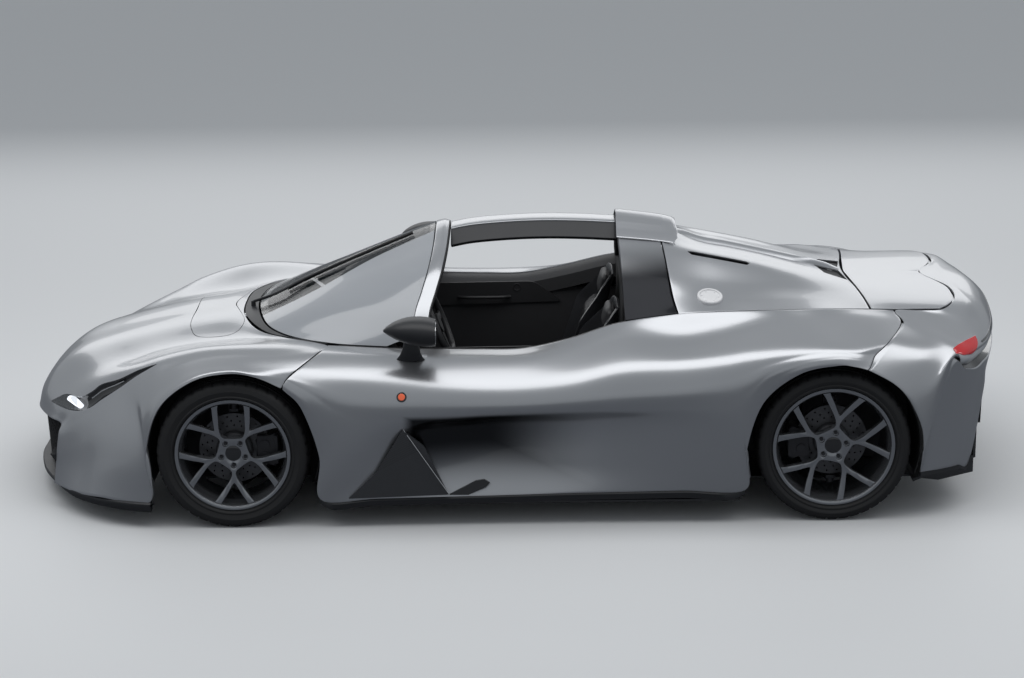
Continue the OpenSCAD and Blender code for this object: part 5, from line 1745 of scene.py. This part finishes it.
    def seat_pad(self, name: str, first: float, last: float, half: float, thick: float) -> bpy.types.Object:
        """One pad that lies on the bucket between two places of its line.

        Args:
            name: name of the piece.
            first: where it starts.
            last: where it ends.
            half: half its width.
            thick: half its thickness.

        Returns:
            The pad.
        """
        turn = turns(32)
        wide, tall = squarish(np.cos(turn), 0.5), squarish(np.sin(turn), 0.7)
        ends = np.minimum(1, 0.72 + 0.28 * np.sin(math.pi * steps(0, 1, 15)) * 2.2)[:, None]
        rings = self.on_seat(steps(first, last, 15), half * wide * ends, 0.003 + thick * (1 + tall * ends))
        return padded_block(name, rings, 0.022)

    def seams(self) -> bpy.types.Object:
        """Piping along both edges of the seat's back and base."""
        up = np.full((24, 1), self.seam_up)
        paths = [
            self.on_seat(steps(first, last, 24), 0 * up + y, up)[:, 0]
            for y in (-self.seam_y, self.seam_y)
            for first, last in ((0.35, 3.35), (4.1, 6.5))
        ]
        return tubes("seat_piping_right", paths, 0.003)

    def seats(self) -> None:
        """Both seats: bucket shells with base, back and head pads and piping."""
        mount_pair(self.seat_shell(), self.shop.carbon, "carbon", "seats")
        for name, first, last, half, thick in (
            ("seat_base", 0.25, 3.2, 0.146, 0.022), ("seat_back", 4.2, 6.6, 0.146, 0.024),
            ("seat_head", 6.95, 7.85, 0.098, 0.020),
        ):
            right = self.seat_pad(f"{name}_right", first, last, half, thick)
            for pad in mount_pair(right, self.shop.leather, "seat"):
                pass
        mount_pair(self.seams(), self.shop.trim, "seat")

    def build(self) -> None:
        """Makes the cabin."""
        self.tub()
        self.door_panels()
        self.dash()
        self.helm()
        self.seats()


@dataclass
class Wheel:
    """A wheel pair of one axle: rims, tyres, discs and calipers, mirrored across the car."""

    axle: Axle
    stem: float
    shop: Paintshop
    caliper_way: int
    arms: int = 5
    bolt_circle: float = 0.215
    disc_r: float = 0.150
    disc_y: float = 0.079
    disc_thick: float = 0.066
    cup: Outline = ((0.272, 13), (0.33, 33), (0.47, 29), (0.70, 19.2), (0.94, 14.1), (0.957, 7), (0.96, 0))
    fork: Outline = ((0.50, 0), (0.74, 10.5), (0.93, 15.6), (0.955, 8), (0.96, 0))
    bead: Outline = (
        (0.0136, 0.0246), (-0.0004, 0.0224), (-0.003, 0.012), (-0.0075, 0.0045), (-0.012, 0.0036),
        (-0.016, 0.0062),
    )
    shoulder: Outline = (
        (0.036, 0.0012), (0.022, 0.0035), (0.012, 0.0080), (0.0052, 0.0140), (0.0018, 0.0240), (0, 0.0340),
    )
    barrel_lip: Outline = (
        (0.001, 0.022), (0, 0.017), (0.003, 0.014), (0.010, 0.0135), (0.016, 0.016), (0.020, 0.022),
        (0.024, 0.032), (0.034, 0.055),
    )
    barrel_back: Outline = (
        (0.034, 0.030), (0.018, 0.014), (0, 0.014), (0, 0.022), (0.014, 0.024), (0.026, 0.032),
    )
    barrel_inner: Outline = ((0.026, 0.060), (0.014, 0.024))
    face_front: Outline = (
        (0, 0.046), (0.10, 0.046), (0.17, 0.040), (0.30, 0.037), (0.60, 0.030), (0.86, 0.021),
    )
    face_edge: Outline = ((0.021, 0.0195), (0.0215, 0.046))
    face_rear: Outline = ((0.86, 0.050), (0.60, 0.062), (0.32, 0.074), (0.30, 0.079), (0, 0.079))
    caliper_section: Outline = (
        (0.094, 0.034), (0.094, 0.060), (0.176, 0.063), (0.187, 0.050), (0.187, -0.034), (0.154, -0.034),
        (0.154, 0.034),
    )

    def __post_init__(self) -> None:
        """Works out the middle of the right wheel, its half width and the ends of its pieces' names."""
        a = self.axle
        self.half = a.tyre_w / 2
        self.centre = (a.x, a.tyre_face - self.half, a.z)
        self.suffix = f"{a.end}_right"

    def at(self, radius: float, angle: float) -> Pair:
        """Place on the wheel's face by radius and angle in degrees."""
        turn = math.radians(angle)
        return self.axle.x + radius * math.cos(turn), self.axle.z + radius * math.sin(turn)

    def under(self, radius: float, offsets: Outline) -> list[Pair]:
        """Section points by how far they lie within a radius and under the wheel's outer face."""
        return [(radius - inwards, self.half - depth) for inwards, depth in offsets]

    def scaled(self, radius: float, offsets: Outline) -> list[Pair]:
        """Section points by share of a radius and by depth under the wheel's outer face."""
        return [(radius * share, self.half - depth) for share, depth in offsets]

    def tyre(self) -> bpy.types.Object:
        """Tyre with rounded walls, grooves around it and cut shoulders."""
        h, r, rim = self.half, self.axle.tyre_r, self.axle.rim_r
        outer = [*self.under(rim, self.bead), (0.5 * (r + rim), h - 0.0005), *self.under(r, self.shoulder)]
        for share in (0.62, 0.24):
            y = share * (h - 0.030)
            outer += [(r, y + 0.0052), (r - 0.006, y + 0.0042), (r - 0.006, y - 0.0042), (r, y - 0.0052)]
        ring = np.array([*outer, *((p, -q) for p, q in outer[::-1]), outer[0]])
        count = 252
        turn = steps(0, 2 * math.pi, count + 1)[:, None]
        lower = np.zeros((count + 1, len(ring)))
        lower[::6] = 0.0045 * ((np.abs(ring[:, 1]) > 0.66 * h) & (ring[:, 0] > r - 0.010))
        radius = ring[:, 0] - lower
        x, y, z = self.centre
        across = y + ring[:, 1] + 0 * radius
        grid = np.stack([x + np.cos(turn) * radius, across, z + np.sin(turn) * radius], axis=2)
        return closed_lattice(f"tyre_skin_{self.suffix}", grid, 30)

    def window(self, half: Outline, radius: float, angle: float) -> np.ndarray:
        """A window's outline, rounded."""
        corners = [(share, -off) for share, off in half] + [(share, off) for share, off in half[::-1] if off]
        flat = [self.at(share * self.axle.rim_r, angle + off) for share, off in corners]
        return np.array([(x, 0.0, z) for x, z in rounded(flat, radius, 5)])

    def rim(self) -> bpy.types.Object:
        """Rim: barrel with its lips, and a dished face cut into forked arms."""
        big, h, y = self.axle.rim_r, self.half, self.centre[1]
        back = [(big - inwards, depth - h) for inwards, depth in self.barrel_back]
        profile = [*self.under(big, self.barrel_lip), *back, *self.under(big, self.barrel_inner)]
        barrel = lathe("barrel", profile, self.centre, 144)
        profile = [
            *self.scaled(big, self.face_front), *self.under(big, self.face_edge),
            *self.scaled(big, self.face_rear),
        ]
        face = lathe("face", profile, self.centre, 120)
        front, rear, seat = (np.array([0, y + depth, 0]) for depth in (h + 0.02, -h, h - 0.052))
        cutters = []
        for k in range(self.arms):
            stem = self.stem + 360 / self.arms * k
            cutters.append(prism("cup", self.window(self.cup, 0.024, stem + 180 / self.arms), front, rear))
            cutters.append(prism("fork", self.window(self.fork, 0.012, stem), front, rear))
            x, z = self.at(self.bolt_circle * big, stem)
            r = 0.053 * big
            hole = np.array([(x + r * math.cos(t), 0, z + r * math.sin(t)) for t in turns(24)])
            cutters.append(prism("bolt_hole", hole, front, seat))
        cut(face, joined("cutters", cutters))
        bevel(face, 0.0028, 2, 50)
        smooth(face, 40)
        return joined(f"rim_skin_{self.suffix}", [barrel, face])

    def pegs(
        self, name: str, places: Iterable[Pair], ys: Pair, radius: float, sides: int
    ) -> bpy.types.Object:
        """Short bars across the car.

        Args:
            name: name of the piece.
            places: where they stand, by x and z.
            ys: where they begin and end.
            radius: their radius.
            sides: sides of their section.

        Returns:
            All the bars as one piece.
        """
        return tubes(name, [[(x, y, z) for y in ys] for x, z in places], radius, sides)

    def bolts(self) -> bpy.types.Object:
        """Bolt heads in their holes."""
        y = self.centre[1] + self.half
        places = [
            self.at(self.bolt_circle * self.axle.rim_r, self.stem + 360 / self.arms * k)
            for k in range(self.arms)
        ]
        return self.pegs(f"wheel_bolts_{self.suffix}", places, (y - 0.056, y - 0.043), 0.0085, 6)

    def cap(self) -> bpy.types.Object:
        """The plain dark cap in the rim's middle, in its ring."""
        section = ((0, 0.0375), (0.7, 0.0385), (0.95, 0.0405), (1, 0.044), (1, 0.050), (0, 0.050))
        profile = self.scaled(0.14 * self.axle.rim_r, section)
        return lathe(f"wheel_cap_{self.suffix}", profile, self.centre, 64, closed=False)

    def disc(self) -> bpy.types.Object:
        """Brake disc with cooling holes, its bell and the stub of the axle."""
        r, y = self.disc_r, self.half - self.disc_y
        profile = [
            (0, y - 0.002), (0.070, y - 0.002), (0.0755, y - 0.008), (0.076, y - 0.039),
            (r - 0.001, y - 0.0405), (r, y - 0.0415), (r, y - 0.0645), (r - 0.001, y - 0.066),
            (0.030, y - 0.066), (0.030, y - 0.141), (0, y - 0.141),
        ]
        body = lathe(f"disc_skin_{self.suffix}", profile, self.centre, closed=False)
        places = [
            self.at(radius, 18 * k + shift)
            for k in range(20)
            for radius, shift in ((0.098, 0), (0.117, 6), (0.136, 12))
        ]
        y += self.centre[1]
        cut(body, self.pegs("disc_holes", places, (y - 0.080, y - 0.030), 0.0038, 10))
        smooth(body, 32)
        return body

    def caliper(self) -> bpy.types.Object:
        """Brake caliper's outer half, curved around the disc, with two piston bosses."""
        y = self.centre[1] + self.half - self.disc_y - self.disc_thick
        middle = 0 if self.caliper_way > 0 else 180
        section = rounded(self.caliper_section, 0.010, 4)
        rings = []
        for angle in steps(-23, 23, 15):
            places = [(*self.at(r, middle + angle), out) for r, out in section]
            rings.append([(x, y + out, z) for x, z, out in places])
        places = [self.at(0.130, middle + angle) for angle in (-11, 11)]
        bosses = self.pegs("bosses", places, (y + 0.050, y + 0.067), 0.019, 28)
        return joined(f"caliper_{self.suffix}", [loft("caliper", rings), bosses])

    def shield(self) -> bpy.types.Object:
        """Dark shield that carries the arch's liner down to the ends of the body."""
        angles = np.radians(steps(-20, 200, 83))[:, None]
        r, ys = self.axle.arch_r - 0.007, steps(0.606, 0.845, 5)
        x, z = self.axle.x - r * np.cos(angles) + 0 * ys, self.axle.z + r * np.sin(angles) + 0 * ys
        return panel(f"arch_shield_{self.suffix}", np.stack([x, ys + 0 * x, z], axis=2), -0.003, edge=0)

    def build(self) -> None:
        """Makes both wheels of the axle."""
        shop, end = self.shop, self.axle.end
        wheel, still = f"wheel_{end}_{{}}", "knuckle_{}" if end == "front" else CHASSIS
        mount_pair(self.tyre(), shop.rubber, "tyre", f"tyre_{end}_{{}}", body=wheel)
        mount_pair(self.rim(), shop.alloy, "alloy", f"rim_{end}_{{}}", body=wheel)
        mount_pair(self.bolts(), shop.iron, "metal", body=wheel)
        mount_pair(self.cap(), shop.gloss_black, "carbon", body=wheel)
        mount_pair(self.disc(), shop.disc_metal, "disc", f"disc_{end}_{{}}", body=wheel)
        mount_pair(self.caliper(), shop.iron, "metal", body=still)
        mount_pair(self.shield(), shop.trim, "trim")


@dataclass
class Studio:
    """Floor, light and camera."""

    eye: Point = (0.0577, -10.2284, 3.4795)
    yaw: float = -0.329
    pitch: float = 15.993
    roll: float = -0.754
    focal_px: float = 2398.0
    image_w: int = 1024
    sensor_mm: float = 36.0

    def camera(self) -> None:
        """Places the camera as the photograph's."""
        yaw, pitch, roll = (math.radians(a) for a in (self.yaw, self.pitch, self.roll))
        level = math.cos(pitch)
        ahead = Vector((math.sin(yaw) * level, math.cos(yaw) * level, -math.sin(pitch)))
        right = Vector((math.cos(yaw), -math.sin(yaw), 0))
        up = right.cross(ahead)
        across = right * math.cos(roll) + up * math.sin(roll)
        above = up * math.cos(roll) - right * math.sin(roll)
        data = bpy.data.cameras.new("view")
        data.lens = self.focal_px / self.image_w * self.sensor_mm
        data.sensor_width = self.sensor_mm
        data.sensor_fit = "HORIZONTAL"
        obj = bpy.data.objects.new("view", data)
        turn = Matrix((across, above, -ahead)).transposed()
        obj.matrix_world = Matrix.Translation(self.eye) @ turn.to_4x4()
        bpy.context.collection.objects.link(obj)
        bpy.context.scene.camera = obj

    def floor(self) -> None:
        """Lays the pale floor, which is darker where it lights the car."""
        deselect_all()
        bpy.ops.mesh.primitive_plane_add(size=60, location=(0, 0, 0))
        floor = bpy.context.object
        floor.name = "studio_floor"
        material = Material("pale_floor")
        material.set(Roughness=0.6)
        shade = material.add("Mix", data_type="RGBA")
        shade.inputs[6].default_value = (0.15, 0.16, 0.18, 1)
        shade.inputs[7].default_value = (0.80, 0.81, 0.82, 1)
        material.link(
            (material.add("LightPath").outputs["Is Camera Ray"], shade.inputs[0]),
            (shade.outputs[2], material.shader["Base Color"]),
        )
        dress(floor, material.made)

    def lamp(self, name: str, place: Point, aim: Point, size: Pair, power: float) -> None:
        """Hangs one soft rectangular lamp.

        Args:
            name: name of the lamp.
            place: where it hangs.
            aim: where it points.
            size: its two sides.
            power: its strength in watts.
        """
        data = bpy.data.lights.new(name, "AREA")
        data.shape = "RECTANGLE"
        data.size, data.size_y = size
        data.energy = power
        obj = bpy.data.objects.new(name, data)
        obj.location = place
        obj.rotation_euler = (Vector(aim) - Vector(place)).to_track_quat("-Z", "Y").to_euler()
        obj.visible_camera = False
        bpy.context.collection.objects.link(obj)

    def world(self) -> None:
        """Plain surroundings: pale where they are seen, softer where they light."""
        world = bpy.data.worlds.new("studio")
        bpy.context.scene.world = world
        world.use_nodes = True
        world.node_tree.nodes.clear()
        wiring = Wiring(world.node_tree)
        seen, lit = wiring.add("Background"), wiring.add("Background")
        seen.inputs["Color"].default_value = (0.80, 0.82, 0.84, 1)
        lit.inputs["Color"].default_value = (0.9, 0.95, 1.0, 1)
        lit.inputs["Strength"].default_value = 0.38
        rays, mix = wiring.add("LightPath").outputs, wiring.add("MixShader")
        both = wiring.add("Math", operation="MAXIMUM")
        wiring.link(
            (rays["Is Camera Ray"], both.inputs[0]), (rays["Is Transmission Ray"], both.inputs[1]),
            (both.outputs[0], mix.inputs["Fac"]), (lit.outputs[0], mix.inputs[1]),
            (seen.outputs[0], mix.inputs[2]), (mix.outputs[0], wiring.add("OutputWorld").inputs["Surface"]),
        )

    def build(self) -> None:
        """Sets the whole studio."""
        bpy.context.scene.view_settings.view_transform = "Standard"
        self.camera()
        self.floor()
        self.world()
        self.lamp("top_softbox", (0, -1.1, 4.4), (0, 0, 0.3), (9, 3.2), 140)
        self.lamp("far_softbox", (0, 6.5, 3.4), (0, 0, 0.6), (12, 3.2), 120)


def plain_finishes(frame: dict, shop: Paintshop) -> None:
    """Dresses the frame's own nodes that keep their shape."""
    for finish, nodes in (
        (shop.carbon, ("underbody", "rear_diffuser")), (shop.trim, ("grilles", "wheel_liners")),
        (shop.iron, ("engine_block", "subframes", "suspension", "knuckle_left", "knuckle_right")),
        (shop.polished, ("exhaust",)),
    ):
        for node in nodes:
            dress(frame["nodes"][node], finish)


def main() -> None:
    """Builds the car's looks around the frame, piece by piece."""
    logging.basicConfig(level=logging.INFO, format="%(message)s")
    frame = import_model()
    Studio().build()
    shop = Paintshop()
    front, rear = Axle.read("front", 0.360), Axle.read("rear", 0.365)
    plain_finishes(frame, shop)
    nose, sides = Nose(front, shop), Sides(rear, front, shop)
    for assembly in (
        nose, Splitter(shop), sides, Tail(rear, shop, sides.net), Roof(shop, sides.net, nose.cowl),
        Cabin(shop, sides.net), Wheel(front, -90, shop, 1), Wheel(rear, 80, shop, -1),
    ):
        assembly.build()
        LOG.info("built %s", type(assembly).__name__)


if __name__ == "__main__":
    main()
